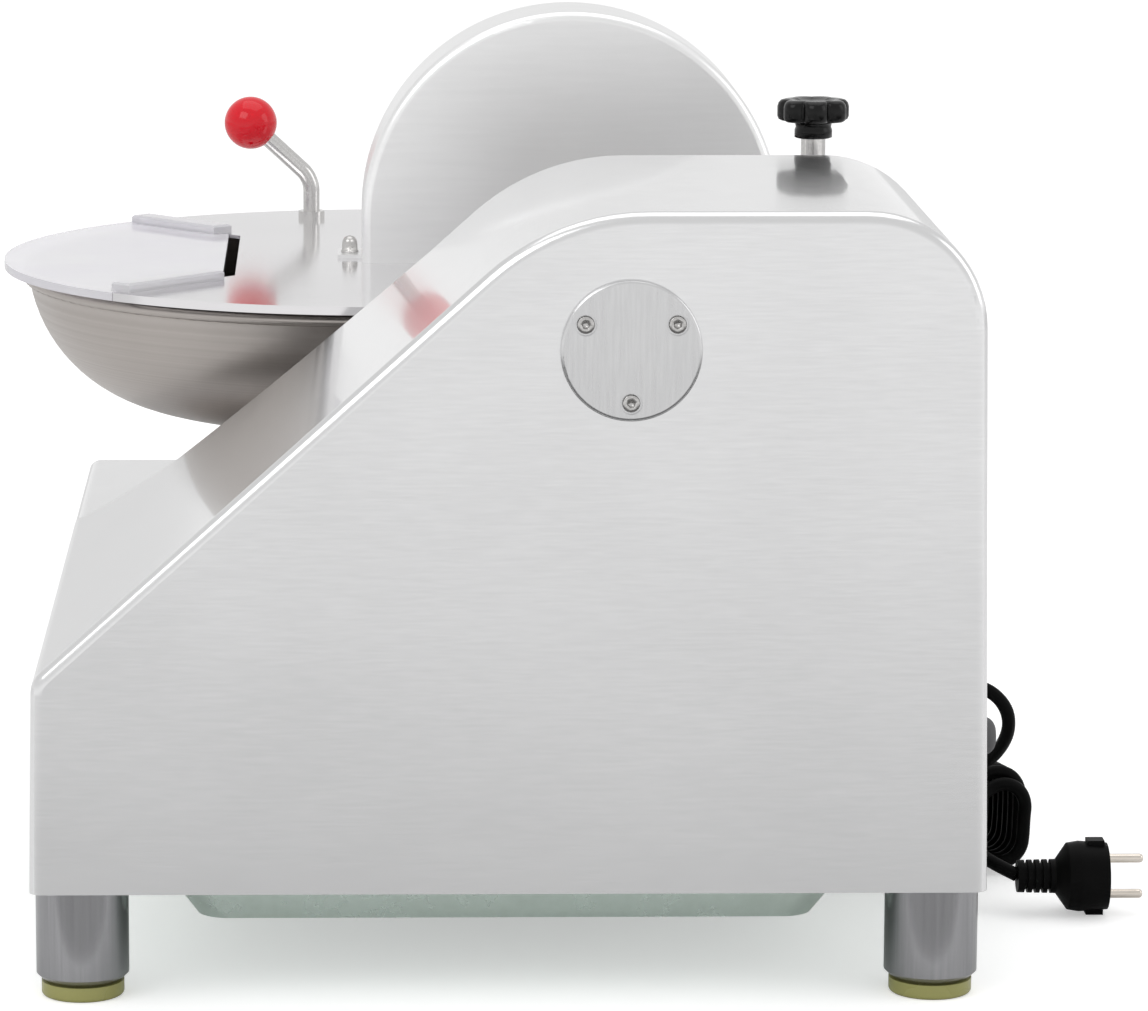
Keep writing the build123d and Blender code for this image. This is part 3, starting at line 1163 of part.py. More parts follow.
def make_hinge_rod():
    rod = rod_x(HINGE_ROD_DIAMETER, SEAT_RUN + LOOSE, HINGE_ROD_END, HINGE_SIDE, HINGE_HEIGHT)
    return chamfer(rod.edges().group_by(Axis.X)[0], 1.5)


def make_stud():
    """Stud of the star knob: a thick upper part that bears on the clamp and a thread below."""
    low, high = clamp_seat(0)[2:]
    stud = rod_z(STUD_DIAMETER, high + RUNNING, KNOB_SEAT_HEIGHT, STUD_RUN, STUD_SIDE)
    stud += rod_z(STUD_THREAD, low + 6, high + RUNNING, STUD_RUN, STUD_SIDE)
    tip = KNOB_SEAT_HEIGHT + KNOB_HUB_HEIGHT
    return stud + rod_z(STUD_THREAD, KNOB_SEAT_HEIGHT, tip, STUD_RUN, STUD_SIDE)


def make_star_knob():
    """Lobed grip on a round hub."""
    lobe = KNOB_DIAMETER * 0.14
    star = Circle(KNOB_DIAMETER / 2 - lobe)
    for x, y in ring_places(KNOB_LOBES, KNOB_DIAMETER - 2 * lobe, 0):
        star += Pos(x, y) * Circle(lobe)
    grip = extrude(star, amount=KNOB_GRIP_HEIGHT)
    grip = chamfer(grip.edges().group_by(Axis.Z)[-1], 1.5)
    hub_top = KNOB_SEAT_HEIGHT + KNOB_HUB_HEIGHT
    knob = Pos(*place(STUD_RUN, STUD_SIDE, hub_top)) * grip
    knob += rod_z(KNOB_HUB_DIAMETER, KNOB_SEAT_HEIGHT, hub_top, STUD_RUN, STUD_SIDE)
    return knob - rod_z(STUD_THREAD, KNOB_SEAT_HEIGHT - 1, hub_top, STUD_RUN, STUD_SIDE)


# ---------------------------------------------------------------- controls and electrical parts
def button_runs():
    return (SWITCH_RUN - BUTTON_PITCH / 2, SWITCH_RUN + BUTTON_PITCH / 2)


def make_switch_station(outer):
    """Switch: a plate seated on the drafted wall, with a box behind it bored for two buttons."""
    half = SWITCH_PLATE_LENGTH / 2
    rise = SWITCH_PLATE_HEIGHT / 2
    low = SWITCH_HEIGHT - rise
    face = -side_at(low, 0) - SWITCH_PLATE_THICKNESS
    plate = block(SWITCH_RUN - half, SWITCH_RUN + half, face, face + 8, low, low + 2 * rise)
    plate = fillet(plate.edges().filter_by(Axis.Y), SWITCH_PLATE_CORNER)
    station = plate - outer + switch_box(0)
    wall = -HOUSING_WIDTH / 2
    bore_end = wall + BUTTON_BODY + BUTTON_TRAVEL + LOOSE
    stem_end = wall + BUTTON_BODY + BUTTON_STEM_LENGTH + BUTTON_TRAVEL + LOOSE
    for run in button_runs():
        station -= rod_y(BUTTON_DIAMETER + 2 * LOOSE, face - 1, bore_end, run, SWITCH_HEIGHT)
        station -= rod_y(BUTTON_STEM + 2 * LOOSE, wall, stem_end, run, SWITCH_HEIGHT)
    return station


def make_button(run):
    """Push button with a rounded face and a stem into the switch."""
    wall = -HOUSING_WIDTH / 2
    outer = wall - SWITCH_PLATE_THICKNESS - BUTTON_PROUD
    shoulder = wall + BUTTON_BODY
    button = rod_y(BUTTON_DIAMETER, outer, shoulder, run, SWITCH_HEIGHT)
    button = fillet(button.edges().sort_by(Axis.Y)[0], 2)
    return button + rod_y(BUTTON_STEM, shoulder, shoulder + BUTTON_STEM_LENGTH, run, SWITCH_HEIGHT)


def make_bumper():
    """Round-headed bumper that keeps the machine off a wall."""
    start = side_at(BUMPER_HEIGHT - BUMPER_DIAMETER / 2, 0) + 0.1
    bumper = rod_y(BUMPER_DIAMETER, start, BUMPER_END_SIDE, BUMPER_RUN, BUMPER_HEIGHT)
    return fillet(bumper.edges().sort_by(Axis.Y)[-1], 7)


def make_gland():
    """Cable gland: hexagon against the wall, round cap outside, thread and lock nut inside."""
    wall = side_at(GLAND_HEIGHT - GLAND_DIAMETER / 2, 0) + 0.1
    end = wall + GLAND_LENGTH
    gland = rod_y(GLAND_DIAMETER, wall, end, GLAND_RUN, GLAND_HEIGHT)
    gland = fillet(gland.edges().sort_by(Axis.Y)[-1], GLAND_DIAMETER * 0.2)
    gland += rod_y(GLAND_DIAMETER - 7, wall - 16, wall, GLAND_RUN, GLAND_HEIGHT)
    inner = side_at(GLAND_HEIGHT + GLAND_DIAMETER / 2, HOUSING_WALL) - 0.1
    gland += rod_y(GLAND_DIAMETER, inner - 5, inner, GLAND_RUN, GLAND_HEIGHT)
    return gland


def gland_end():
    return side_at(GLAND_HEIGHT - GLAND_DIAMETER / 2, 0) + 0.1 + GLAND_LENGTH


# ---------------------------------------------------------------- cord
def cord_tube(name, stations):
    """A round cord along straight runs joined by arcs as large as the runs allow."""
    points = [place(*station) for station in stations]
    radii = []
    for before, corner, after in zip(points, points[1:], points[2:]):
        first = corner - before
        second = after - corner
        turn = radians(first.get_angle(second))
        radii.append(0.45 * min(first.length, second.length) / tan(turn / 2))
    path = FilletPolyline(*points, radius=radii)
    plane = Plane(origin=path @ 0, z_dir=path % 0)
    tube = sweep(plane * Circle(CORD_DIAMETER / 2), path)
    ratio = tube.volume / (pi * CORD_DIAMETER**2 / 4) / path.length
    print(name, "radii", [round(radius, 1) for radius in radii])
    print(name, "length", round(path.length, 1), "volume over section and length", round(ratio, 4))
    return tube


def hank_centre(along):
    """Centre of the coil a share of the way from its near end to its far end."""
    run = HANK_RUN + along * HANK_TURNS * HANK_PITCH
    return (run, HANK_SIDE - along * HANK_LEAN, HANK_CENTRE_HEIGHT - along * HANK_SINK)


def make_hank():
    """The coiled spare length: upright oval turns side by side, as one rounded solid."""
    outer = Ellipse(HANK_WIDTH / 2, HANK_HEIGHT / 2)
    inner = Ellipse(HANK_WIDTH / 2 - CORD_DIAMETER, HANK_HEIGHT / 2 - CORD_DIAMETER)
    run, side, height = hank_centre(0)
    far = place(*hank_centre(1))
    near = place(run, side, height)
    ring = section_plane(run) * Pos(side, height) * (outer - inner)
    hank = extrude(ring, dir=far - near, amount=(far - near).length)
    cap = CORD_DIAMETER / 2
    hank += push_x(Pos(side, height) * (outer - inner), run - cap, run)
    ends = hank.edges().group_by(Axis.X)
    return fillet(ends[-1], CORD_DIAMETER * 0.45)


def outside_of(tube, hank):
    """The stretch of a tube that lies before it goes into the coil."""
    pieces = (tube - hank).solids()
    return pieces.sort_by(SortBy.VOLUME)[-1]


def make_power_cord(hank):
    """From the gland, tightly down behind the housing and into the hank."""
    stations = [
        (GLAND_RUN, gland_end(), GLAND_HEIGHT),
        (190, 254, 119),
        (192, 266.5, 108.5),
        (198, 270, 94),
        (211, 265.5, 78),
        (229, 257.5, 67),
        (248, 251, 60),
        (267, 246.5, 55),
        (285, 244, 50),
        (299, 243.5, 44),
        (307.5, 245, 36),
    ]
    return outside_of(cord_tube("power_cord", stations), hank)


def make_plug_lead(hank):
    """From the hank round to the plug's strain relief."""
    stations = [
        (250.5, 264.5, 48),
        (243, 257, 43),
        (231, 252.5, 37.5),
        (216, 250.5, 33),
        (201, 250.5, 30.5),
        (188, 254.5, 28),
        (179.5, 262.5, 24.5),
        (175.3, 272, 20.5),
    ]
    return outside_of(cord_tube("plug_lead", stations), hank)


def plug_height():
    """Height of the plug's axis, lying on its lower lug."""
    return PLUG_DIAMETER / 2 + PLUG_LUG_RISE + 0.1


def make_plug(lead):
    """Round plug on its side: ribbed neck, cone, body and a lug above and below its face."""
    middle = plug_height()
    start = PLUG_FACE_SIDE - PLUG_LENGTH
    body_start = PLUG_FACE_SIDE - PLUG_BODY_LENGTH
    half = PLUG_DIAMETER / 2
    neck = PLUG_NECK_DIAMETER / 2
    profile = Polyline(
        (start, 0),
        (start, neck),
        (body_start, neck + 0.5),
        (body_start + PLUG_SHOULDER, half - 1),
        (body_start + 2 * PLUG_SHOULDER, half),
        (PLUG_FACE_SIDE, half - 1),
        (PLUG_FACE_SIDE, 0),
        close=True,
    )
    plane = Plane(origin=place(PLUG_RUN, 0, middle), x_dir=(0, 1, 0), z_dir=(1, 0, 0))
    axis = Axis(place(PLUG_RUN, 0, middle), (0, 1, 0))
    plug = revolve(plane * make_face(profile), axis, 360)
    lug_end = PLUG_FACE_SIDE - 2
    lug_half = PLUG_LUG_WIDTH / 2
    reach = half + PLUG_LUG_RISE
    plug += block(
        PLUG_RUN - lug_half,
        PLUG_RUN + lug_half,
        lug_end - PLUG_LUG_LENGTH,
        lug_end,
        middle - reach,
        middle + reach,
    )
    for index in range(4):
        rib = start + 3.5 + 4 * index
        ring = rod_y(PLUG_NECK_DIAMETER + 4, rib, rib + 1.6, PLUG_RUN, middle)
        plug -= ring - rod_y(PLUG_NECK_DIAMETER - 3, rib, rib + 1.6, PLUG_RUN, middle)
    return plug - lead


def make_plug_pins():
    """Two round pins, one above the other."""
    middle = plug_height()
    pins = Part()
    for sign in (-1, 1):
        height = middle + sign * PIN_PITCH / 2
        pin = rod_y(PIN_DIAMETER, PLUG_FACE_SIDE, PLUG_FACE_SIDE + PIN_LENGTH, PLUG_RUN, height)
        pins += fillet(pin.edges().sort_by(Axis.Y)[-1], PIN_DIAMETER * 0.4)
    return pins


# ---------------------------------------------------------------- assembly
def build_nodes():
    """Every node of the machine by name."""
    outer = housing_form(0)
    nodes = {}
    nodes["housing"] = make_housing()
    nodes["bottom_pan"] = make_pan()
    for index, (run, side) in enumerate(leg_places(), 1):
        nodes[f"leg_{index}"] = make_leg(run, side)
        nodes[f"foot_pad_{index}"] = make_pad(run, side)
    nodes["leg_bolts"] = make_leg_bolts()
    nodes["shaft_cover"] = make_cover()
    nodes["cover_screws"] = make_cover_screws()
    nodes["knife_shaft"] = make_knife_shaft()
    nodes["rear_bearing"] = make_bearing(REAR_BEARING_RUN, SHAFT_SIDE, SHAFT_HEIGHT, SHAFT_DIAMETER)
    nodes["front_bearing"] = make_bearing(FRONT_BEARING_RUN, SHAFT_SIDE, SHAFT_HEIGHT, SHAFT_DIAMETER)
    nodes["knife_1"] = make_knife(0)
    nodes["knife_2"] = make_knife(1)
    nodes["knife_spacer"] = make_spacer()
    nodes["knife_nut"] = make_knife_nut()
    nodes["shaft_sleeve"] = make_sleeve()
    nodes["sleeve_screws"] = make_sleeve_screws()
    nodes["knife_pulley"] = make_pulley(KNIFE_PULLEY_DIAMETER, SHAFT_DIAMETER, SHAFT_HEIGHT)
    nodes["motor_pulley"] = make_pulley(MOTOR_PULLEY_DIAMETER, MOTOR_SHAFT_DIAMETER, MOTOR_HEIGHT)
    nodes["drive_belt"] = make_belt()
    nodes["motor"] = make_motor()
    nodes["motor_bolts"] = make_motor_bolts()
    nodes["motor_shaft"] = make_motor_shaft()
    nodes["worm_bearing_blocks"] = make_worm_blocks()
    nodes["worm_wheel"] = make_worm_wheel()
    nodes["bowl"] = make_bowl()
    nodes["bowl_spindle"] = make_spindle()
    nodes["bowl_nut"] = make_bowl_nut()
    nodes["spindle_tube"] = make_spindle_tube()
    nodes["spindle_bearings"] = make_spindle_bearings()
    nodes["spindle_bolts"] = make_spindle_bolts()
    nodes["lid_plate"] = make_lid()
    nodes["window_plate"] = make_window()
    nodes["window_strips"] = make_strips()
    nodes["knife_dome"] = make_dome()
    nodes["dome_bolts"] = make_dome_bolts()
    nodes["lid_handle"] = make_handle()
    nodes["ball_knob"] = make_ball(nodes["lid_handle"])
    for index, run in enumerate(arm_runs(), 1):
        nodes[f"hinge_arm_{index}"] = make_arm(run)
    nodes["hinge_rod"] = make_hinge_rod()
    nodes["hinge_clamp"] = make_clamp()
    nodes["clamp_screws"] = make_clamp_screws()
    nodes["knob_stud"] = make_stud()
    nodes["star_knob"] = make_star_knob()
    nodes["switch_station"] = make_switch_station(outer)
    start_run, stop_run = button_runs()
    nodes["start_button"] = make_button(start_run)
    nodes["stop_button"] = make_button(stop_run)
    nodes["rear_bumper"] = make_bumper()
    nodes["cable_gland"] = make_gland()
    hank = make_hank()
    nodes["power_cord"] = make_power_cord(hank)
    nodes["cord_hank"] = hank
    lead = make_plug_lead(hank)
    nodes["plug_lead"] = lead
    nodes["plug_body"] = make_plug(lead)
    nodes["plug_pins"] = make_plug_pins()
    return nodes


if __name__ == "__main__":
    os.makedirs("parts", exist_ok=True)
    for name, solid in build_nodes().items():
        export_step(solid, f"parts/{name}.step")
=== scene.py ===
"""Looks of a bench-top bowl cutter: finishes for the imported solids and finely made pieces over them."""

import math

import bmesh
import bpy
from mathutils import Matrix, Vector


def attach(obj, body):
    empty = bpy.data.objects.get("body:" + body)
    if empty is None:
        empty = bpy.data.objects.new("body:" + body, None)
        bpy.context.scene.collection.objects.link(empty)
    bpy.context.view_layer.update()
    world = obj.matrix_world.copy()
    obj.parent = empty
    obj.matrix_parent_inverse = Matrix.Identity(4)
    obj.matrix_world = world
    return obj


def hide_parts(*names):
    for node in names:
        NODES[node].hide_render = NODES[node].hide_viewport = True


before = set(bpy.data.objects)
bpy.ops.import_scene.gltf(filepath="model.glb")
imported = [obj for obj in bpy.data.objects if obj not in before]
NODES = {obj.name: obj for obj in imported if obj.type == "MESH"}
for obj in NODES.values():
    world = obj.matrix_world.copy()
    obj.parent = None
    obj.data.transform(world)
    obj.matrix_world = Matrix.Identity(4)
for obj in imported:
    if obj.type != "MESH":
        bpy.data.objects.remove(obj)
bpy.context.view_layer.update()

# The machine's own measures, in metres: run from the end panel, side from its middle, height.
PANEL_X = 0.3745
BODY_Y = 0.0125
CORD_RADIUS = 0.0036

# The pieces' places that finishes and fasteners share, in millimetres.
BOWL_RUN = 536
BOWL_SIDE = -59
SHAFT_SIDE = 58
SHAFT_HEIGHT = 325
COVER_FACE = -1.8
SCREW_CIRCLE_RADIUS = 25.5
DOME_SIDE = 51
LID_TOP = 303
STUD_RUN = 287
STUD_SIDE = 170


def place(run, side, height):
    """A point in metres from a run, a side and a height in millimetres."""
    return Vector((PANEL_X - run / 1000, BODY_Y + side / 1000, height / 1000))


# ---------------------------------------------------------------- camera, room and lamps
CAMERA_LENS = 166.43
CAMERA_SHIFT = 0.1498
CAMERA_PITCH = 10.191
CAMERA_YAW = 0.709
CAMERA_DISTANCE = 2.523
CAMERA_SIDE = -0.0835
CAMERA_HEIGHT = 0.703


def make_camera():
    """Long lens on the end panel, a little above it and pitched down."""
    data = bpy.data.cameras.new("product_camera")
    data.sensor_width = 36.0
    data.sensor_fit = "HORIZONTAL"
    data.lens = CAMERA_LENS
    data.shift_x = CAMERA_SHIFT
    data.clip_end = 60.0
    camera = bpy.data.objects.new("product_camera", data)
    bpy.context.scene.collection.objects.link(camera)
    pitch = math.radians(CAMERA_PITCH)
    yaw = math.radians(CAMERA_YAW)
    ahead = Vector((-math.cos(yaw) * math.cos(pitch), math.sin(yaw) * math.cos(pitch), -math.sin(pitch)))
    camera.location = (PANEL_X + CAMERA_DISTANCE, BODY_Y + CAMERA_SIDE, CAMERA_HEIGHT)
    camera.rotation_euler = ahead.to_track_quat("-Z", "Y").to_euler()
    bpy.context.scene.camera = camera


def make_lamp(name, where, aim, size, power):
    """Soft white lamp of a size in metres and a power in watts, turned to what it lights."""
    data = bpy.data.lights.new(name, "AREA")
    data.shape = "RECTANGLE"
    data.size, data.size_y = size
    data.energy = power
    lamp = bpy.data.objects.new(name, data)
    bpy.context.scene.collection.objects.link(lamp)
    lamp.location = where
    lamp.rotation_euler = (Vector(aim) - Vector(where)).to_track_quat("-Z", "Y").to_euler()


# Brightness of the room by the height of a direction, from below the table's edge to overhead.
ROOM_STEPS = [
    (-0.5, 0.18),
    (-0.3, 0.2),
    (-0.262, 0.45),
    (-0.24, 0.82),
    (-0.2, 0.98),
    (-0.1, 1.06),
    (0.0, 0.98),
    (0.2, 0.8),
    (0.5, 0.76),
]
FLOOR_REACH = 30.0
FLOOR_PAST_PANEL = 0.07
FLOOR_GLOW = 0.42


def make_room():
    """White studio: a graded world, a pale floor that keeps the shadow, and soft lamps."""
    scene = bpy.context.scene
    scene.view_settings.view_transform = "Standard"
    world = bpy.data.worlds.new("studio")
    scene.world = world
    world.use_nodes = True
    tree = world.node_tree
    tree.nodes.clear()
    out = tree.nodes.new("ShaderNodeOutputWorld")
    light = tree.nodes.new("ShaderNodeBackground")
    seen = tree.nodes.new("ShaderNodeBackground")
    seen.inputs["Color"].default_value = (1, 1, 1, 1)
    mix = tree.nodes.new("ShaderNodeMixShader")
    path = tree.nodes.new("ShaderNodeLightPath")
    coords = tree.nodes.new("ShaderNodeTexCoord")
    split = tree.nodes.new("ShaderNodeSeparateXYZ")
    lift = tree.nodes.new("ShaderNodeMapRange")
    lift.inputs["From Min"].default_value = -0.5
    lift.inputs["From Max"].default_value = 0.5
    ramp = tree.nodes.new("ShaderNodeValToRGB")
    steps = ramp.color_ramp.elements
    steps[0].position = ROOM_STEPS[0][0] + 0.5
    steps[0].color = (*[ROOM_STEPS[0][1]] * 3, 1)
    steps[1].position = ROOM_STEPS[-1][0] + 0.5
    steps[1].color = (*[ROOM_STEPS[-1][1]] * 3, 1)
    for height, level in ROOM_STEPS[1:-1]:
        step = steps.new(height + 0.5)
        step.color = (level, level, level, 1)
    tree.links.new(coords.outputs["Generated"], split.inputs[0])
    tree.links.new(split.outputs["Z"], lift.inputs["Value"])
    tree.links.new(lift.outputs["Result"], ramp.inputs["Fac"])
    tree.links.new(ramp.outputs["Color"], light.inputs["Color"])
    light.inputs["Strength"].default_value = 1.0
    tree.links.new(path.outputs["Is Camera Ray"], mix.inputs["Fac"])
    tree.links.new(light.outputs[0], mix.inputs[1])
    tree.links.new(seen.outputs[0], mix.inputs[2])
    tree.links.new(mix.outputs[0], out.inputs["Surface"])

    mesh = bpy.data.meshes.new("studio_floor")
    far = FLOOR_REACH
    edge = PANEL_X + FLOOR_PAST_PANEL
    corners = [(-far, -far, 0), (edge, -far, 0), (edge, far, 0), (-far, far, 0)]
    mesh.from_pydata(corners, [], [(0, 1, 2, 3)])
    floor = bpy.data.objects.new("studio_floor", mesh)
    scene.collection.objects.link(floor)
    material = bpy.data.materials.new("floor_white")
    material.use_nodes = True
    tree = material.node_tree
    shader = tree.nodes["Principled BSDF"]
    shader.inputs["Base Color"].default_value = (0.86, 0.86, 0.86, 1)
    shader.inputs["Roughness"].default_value = 0.9
    shader.inputs["Specular IOR Level"].default_value = 0.0
    shader.inputs["Emission Color"].default_value = (1, 1, 1, 1)
    path = tree.nodes.new("ShaderNodeLightPath")
    either = tree.nodes.new("ShaderNodeMath")
    either.operation = "MAXIMUM"
    glow = tree.nodes.new("ShaderNodeMath")
    glow.operation = "MULTIPLY"
    glow.inputs[1].default_value = FLOOR_GLOW
    tree.links.new(path.outputs["Is Camera Ray"], either.inputs[0])
    tree.links.new(path.outputs["Is Transmission Ray"], either.inputs[1])
    tree.links.new(either.outputs[0], glow.inputs[0])
    tree.links.new(glow.outputs[0], shader.inputs["Emission Strength"])
    mesh.materials.append(material)

    make_lamp("key_lamp", (1.6, -1.6, 2.2), (0, 0, 0.2), (1.8, 1.4), 14)
    make_lamp("top_lamp", (-0.4, 0.1, 2.6), (-0.1, 0, 0.3), (2.6, 2.0), 13)
    make_lamp("side_lamp", (0.6, 2.4, 1.3), (0, 0, 0.3), (1.2, 1.6), 6)


# ---------------------------------------------------------------- shared effects
def new_group(name, ins, outs):
    """A shader group with its named inputs and outputs, and its two end nodes."""
    group = bpy.data.node_groups.new(name, "ShaderNodeTree")
    for label, kind, value in ins:
        socket = group.interface.new_socket(label, in_out="INPUT", socket_type=kind)
        if value is not None:
            socket.default_value = value
    for label, kind in outs:
        group.interface.new_socket(label, in_out="OUTPUT", socket_type=kind)
    inner = group.nodes.new("NodeGroupInput")
    outer = group.nodes.new("NodeGroupOutput")
    return group, inner, outer


def make_grain_group():
    """Fine drawn lines: noise stretched by a scale on each axis, as a mask from 0 to 1."""
    group, inner, outer = new_group(
        "drawn_grain",
        [
            ("Vector", "NodeSocketVector", None),
            ("Stretch", "NodeSocketVector", (20, 400, 400)),
            ("Detail", "NodeSocketFloat", 3.0),
        ],
        [("Mask", "NodeSocketFloat")],
    )
    scale = group.nodes.new("ShaderNodeVectorMath")
    scale.operation = "MULTIPLY"
    noise = group.nodes.new("ShaderNodeTexNoise")
    noise.inputs["Scale"].default_value = 1.0
    noise.inputs["Roughness"].default_value = 0.6
    group.links.new(inner.outputs["Vector"], scale.inputs[0])
    group.links.new(inner.outputs["Stretch"], scale.inputs[1])
    group.links.new(scale.outputs[0], noise.inputs["Vector"])
    group.links.new(inner.outputs["Detail"], noise.inputs["Detail"])
    group.links.new(noise.outputs["Fac"], outer.inputs["Mask"])
    return group


def make_turned_group():
    """Rings about an upright or level axis through a centre, as a mask from 0 to 1."""
    group, inner, outer = new_group(
        "turned_rings",
        [
            ("Vector", "NodeSocketVector", None),
            ("Centre", "NodeSocketVector", (0, 0, 0)),
            ("Keep", "NodeSocketVector", (1, 1, 0)),
            ("Fineness", "NodeSocketFloat", 900.0),
        ],
        [("Mask", "NodeSocketFloat")],
    )
    shift = group.nodes.new("ShaderNodeVectorMath")
    shift.operation = "SUBTRACT"
    flat = group.nodes.new("ShaderNodeVectorMath")
    flat.operation = "MULTIPLY"
    length = group.nodes.new("ShaderNodeVectorMath")
    length.operation = "LENGTH"
    scale = group.nodes.new("ShaderNodeMath")
    scale.operation = "MULTIPLY"
    noise = group.nodes.new("ShaderNodeTexNoise")
    noise.noise_dimensions = "1D"
    noise.inputs["Scale"].default_value = 1.0
    noise.inputs["Detail"].default_value = 3.0
    group.links.new(inner.outputs["Vector"], shift.inputs[0])
    group.links.new(inner.outputs["Centre"], shift.inputs[1])
    group.links.new(shift.outputs[0], flat.inputs[0])
    group.links.new(inner.outputs["Keep"], flat.inputs[1])
    group.links.new(flat.outputs[0], length.inputs[0])
    group.links.new(length.outputs["Value"], scale.inputs[0])
    group.links.new(inner.outputs["Fineness"], scale.inputs[1])
    group.links.new(scale.outputs[0], noise.inputs["W"])
    group.links.new(noise.outputs["Fac"], outer.inputs["Mask"])
    return group


def make_smudge_group():
    """Broad handling marks and a fine speckle, as two masks from 0 to 1."""
    group, inner, outer = new_group(
        "handling_marks",
        [
            ("Vector", "NodeSocketVector", None),
            ("Breadth", "NodeSocketFloat", 9.0),
            ("Speckle", "NodeSocketFloat", 700.0),
        ],
        [("Smudge", "NodeSocketFloat"), ("Specks", "NodeSocketFloat")],
    )
    broad = group.nodes.new("ShaderNodeTexNoise")
    broad.inputs["Detail"].default_value = 4.0
    fine = group.nodes.new("ShaderNodeTexNoise")
    fine.inputs["Detail"].default_value = 2.0
    for noise, label in ((broad, "Breadth"), (fine, "Speckle")):
        group.links.new(inner.outputs["Vector"], noise.inputs["Vector"])
        group.links.new(inner.outputs[label], noise.inputs["Scale"])
    group.links.new(broad.outputs["Fac"], outer.inputs["Smudge"])
    group.links.new(fine.outputs["Fac"], outer.inputs["Specks"])
    return group


GRAIN = make_grain_group()
TURNED = make_turned_group()
SMUDGE = make_smudge_group()


# ---------------------------------------------------------------- finishes
class Finish:
    """A material under construction, with short ways to add its masks and ranges."""

    def __init__(self, name, metallic=0.0, coat=0.0, specular=0.5, ior=1.45):
        self.material = bpy.data.materials.new(name)
        self.material.use_nodes = True
        self.tree = self.material.node_tree
        self.shader = self.tree.nodes["Principled BSDF"]
        self.shader.inputs["Metallic"].default_value = metallic
        self.shader.inputs["Coat Weight"].default_value = coat
        self.shader.inputs["Coat Roughness"].default_value = 0.06
        self.shader.inputs["Specular IOR Level"].default_value = specular
        self.shader.inputs["IOR"].default_value = ior
        coords = self.tree.nodes.new("ShaderNodeTexCoord")
        self.vector = coords.outputs["Object"]
        self.bump = None

    def group(self, group, **values):
        """Places a shared effect, reading object coordinates, with its own values."""
        node = self.tree.nodes.new("ShaderNodeGroup")
        node.node_tree = group
        for label, value in values.items():
            node.inputs[label].default_value = value
        self.tree.links.new(self.vector, node.inputs["Vector"])
        return node

    def spread(self, mask, low, high, start=0.3, end=0.7):
        """Maps a mask to a range of values."""
        node = self.tree.nodes.new("ShaderNodeMapRange")
        node.inputs["From Min"].default_value = start
        node.inputs["From Max"].default_value = end
        node.inputs["To Min"].default_value = low
        node.inputs["To Max"].default_value = high
        self.tree.links.new(mask, node.inputs["Value"])
        return node.outputs["Result"]

    def blend(self, mask, first, second):
        """Mixes two colours by a mask."""
        node = self.tree.nodes.new("ShaderNodeMix")
        node.data_type = "RGBA"
        for value, socket in ((first, node.inputs["A"]), (second, node.inputs["B"])):
            socket.default_value = (*value, 1)
        self.tree.links.new(mask, node.inputs["Factor"])
        return node.outputs["Result"]

    def add(self, first, second, share):
        """Mixes two masks, the second by its share."""
        node = self.tree.nodes.new("ShaderNodeMix")
        node.inputs["Factor"].default_value = share
        self.tree.links.new(first, node.inputs["A"])
        self.tree.links.new(second, node.inputs["B"])
        return node.outputs["Result"]

    def colour(self, socket):
        self.tree.links.new(socket, self.shader.inputs["Base Color"])

    def roughness(self, socket):
        self.tree.links.new(socket, self.shader.inputs["Roughness"])

    def relief(self, mask, depth):
        """Bump of a depth in metres from a mask, on top of any bump before it."""
        node = self.tree.nodes.new("ShaderNodeBump")
        node.inputs["Distance"].default_value = depth
        node.inputs["Strength"].default_value = 1.0
        self.tree.links.new(mask, node.inputs["Height"])
        if self.bump:
            self.tree.links.new(self.bump.outputs["Normal"], node.inputs["Normal"])
        self.bump = node
        self.tree.links.new(node.outputs["Normal"], self.shader.inputs["Normal"])


def drawn_metal(name, light, dark, rough, stretch, depth=0.00002, coat=0.0, wave=0.0):
    """Metal with fine drawn lines along the axis whose stretch is small, and a slow unevenness."""
    finish = Finish(name, metallic=1.0, coat=coat)
    grain = finish.group(GRAIN, Stretch=stretch)
    marks = finish.group(SMUDGE)
    tone = finish.add(grain.outputs["Mask"], marks.outputs["Smudge"], 0.45)
    finish.colour(finish.blend(finish.spread(tone, 0, 1, 0.35, 0.65), dark, light))
    finish.roughness(finish.spread(tone, rough[1], rough[0]))
    finish.relief(grain.outputs["Mask"], depth)
    if wave:
        finish.relief(finish.group(SMUDGE, Breadth=16.0).outputs["Smudge"], wave)
    return finish.material


def turned_metal(name, light, dark, rough, centre, keep=(1, 1, 0), fineness=900.0, depth=0.00002):
    """Metal with turning marks about an axis."""
    finish = Finish(name, metallic=1.0)
    rings = finish.group(TURNED, Centre=tuple(centre), Keep=keep, Fineness=fineness)
    marks = finish.group(SMUDGE)
    tone = finish.add(rings.outputs["Mask"], marks.outputs["Smudge"], 0.4)
    finish.colour(finish.blend(finish.spread(tone, 0, 1, 0.35, 0.65), dark, light))
    finish.roughness(finish.spread(tone, rough[1], rough[0]))
    finish.relief(rings.outputs["Mask"], depth)
    return finish.material


def moulded(name, light, dark, rough, depth=0.00004, coat=0.0, speckle=700.0, specular=0.5):
    """Moulded plastic or rubber with a fine grain and handling marks."""
    finish = Finish(name, coat=coat, specular=specular)
    marks = finish.group(SMUDGE, Speckle=speckle)
    finish.colour(finish.blend(finish.spread(marks.outputs["Smudge"], 0, 1), dark, light))
    finish.roughness(finish.spread(marks.outputs["Smudge"], rough[0], rough[1]))
    finish.relief(marks.outputs["Specks"], depth)
    return finish.material


CLEAR_LIGHT = (0.97, 0.96, 0.99)
CLEAR_DARK = (0.93, 0.91, 0.97)


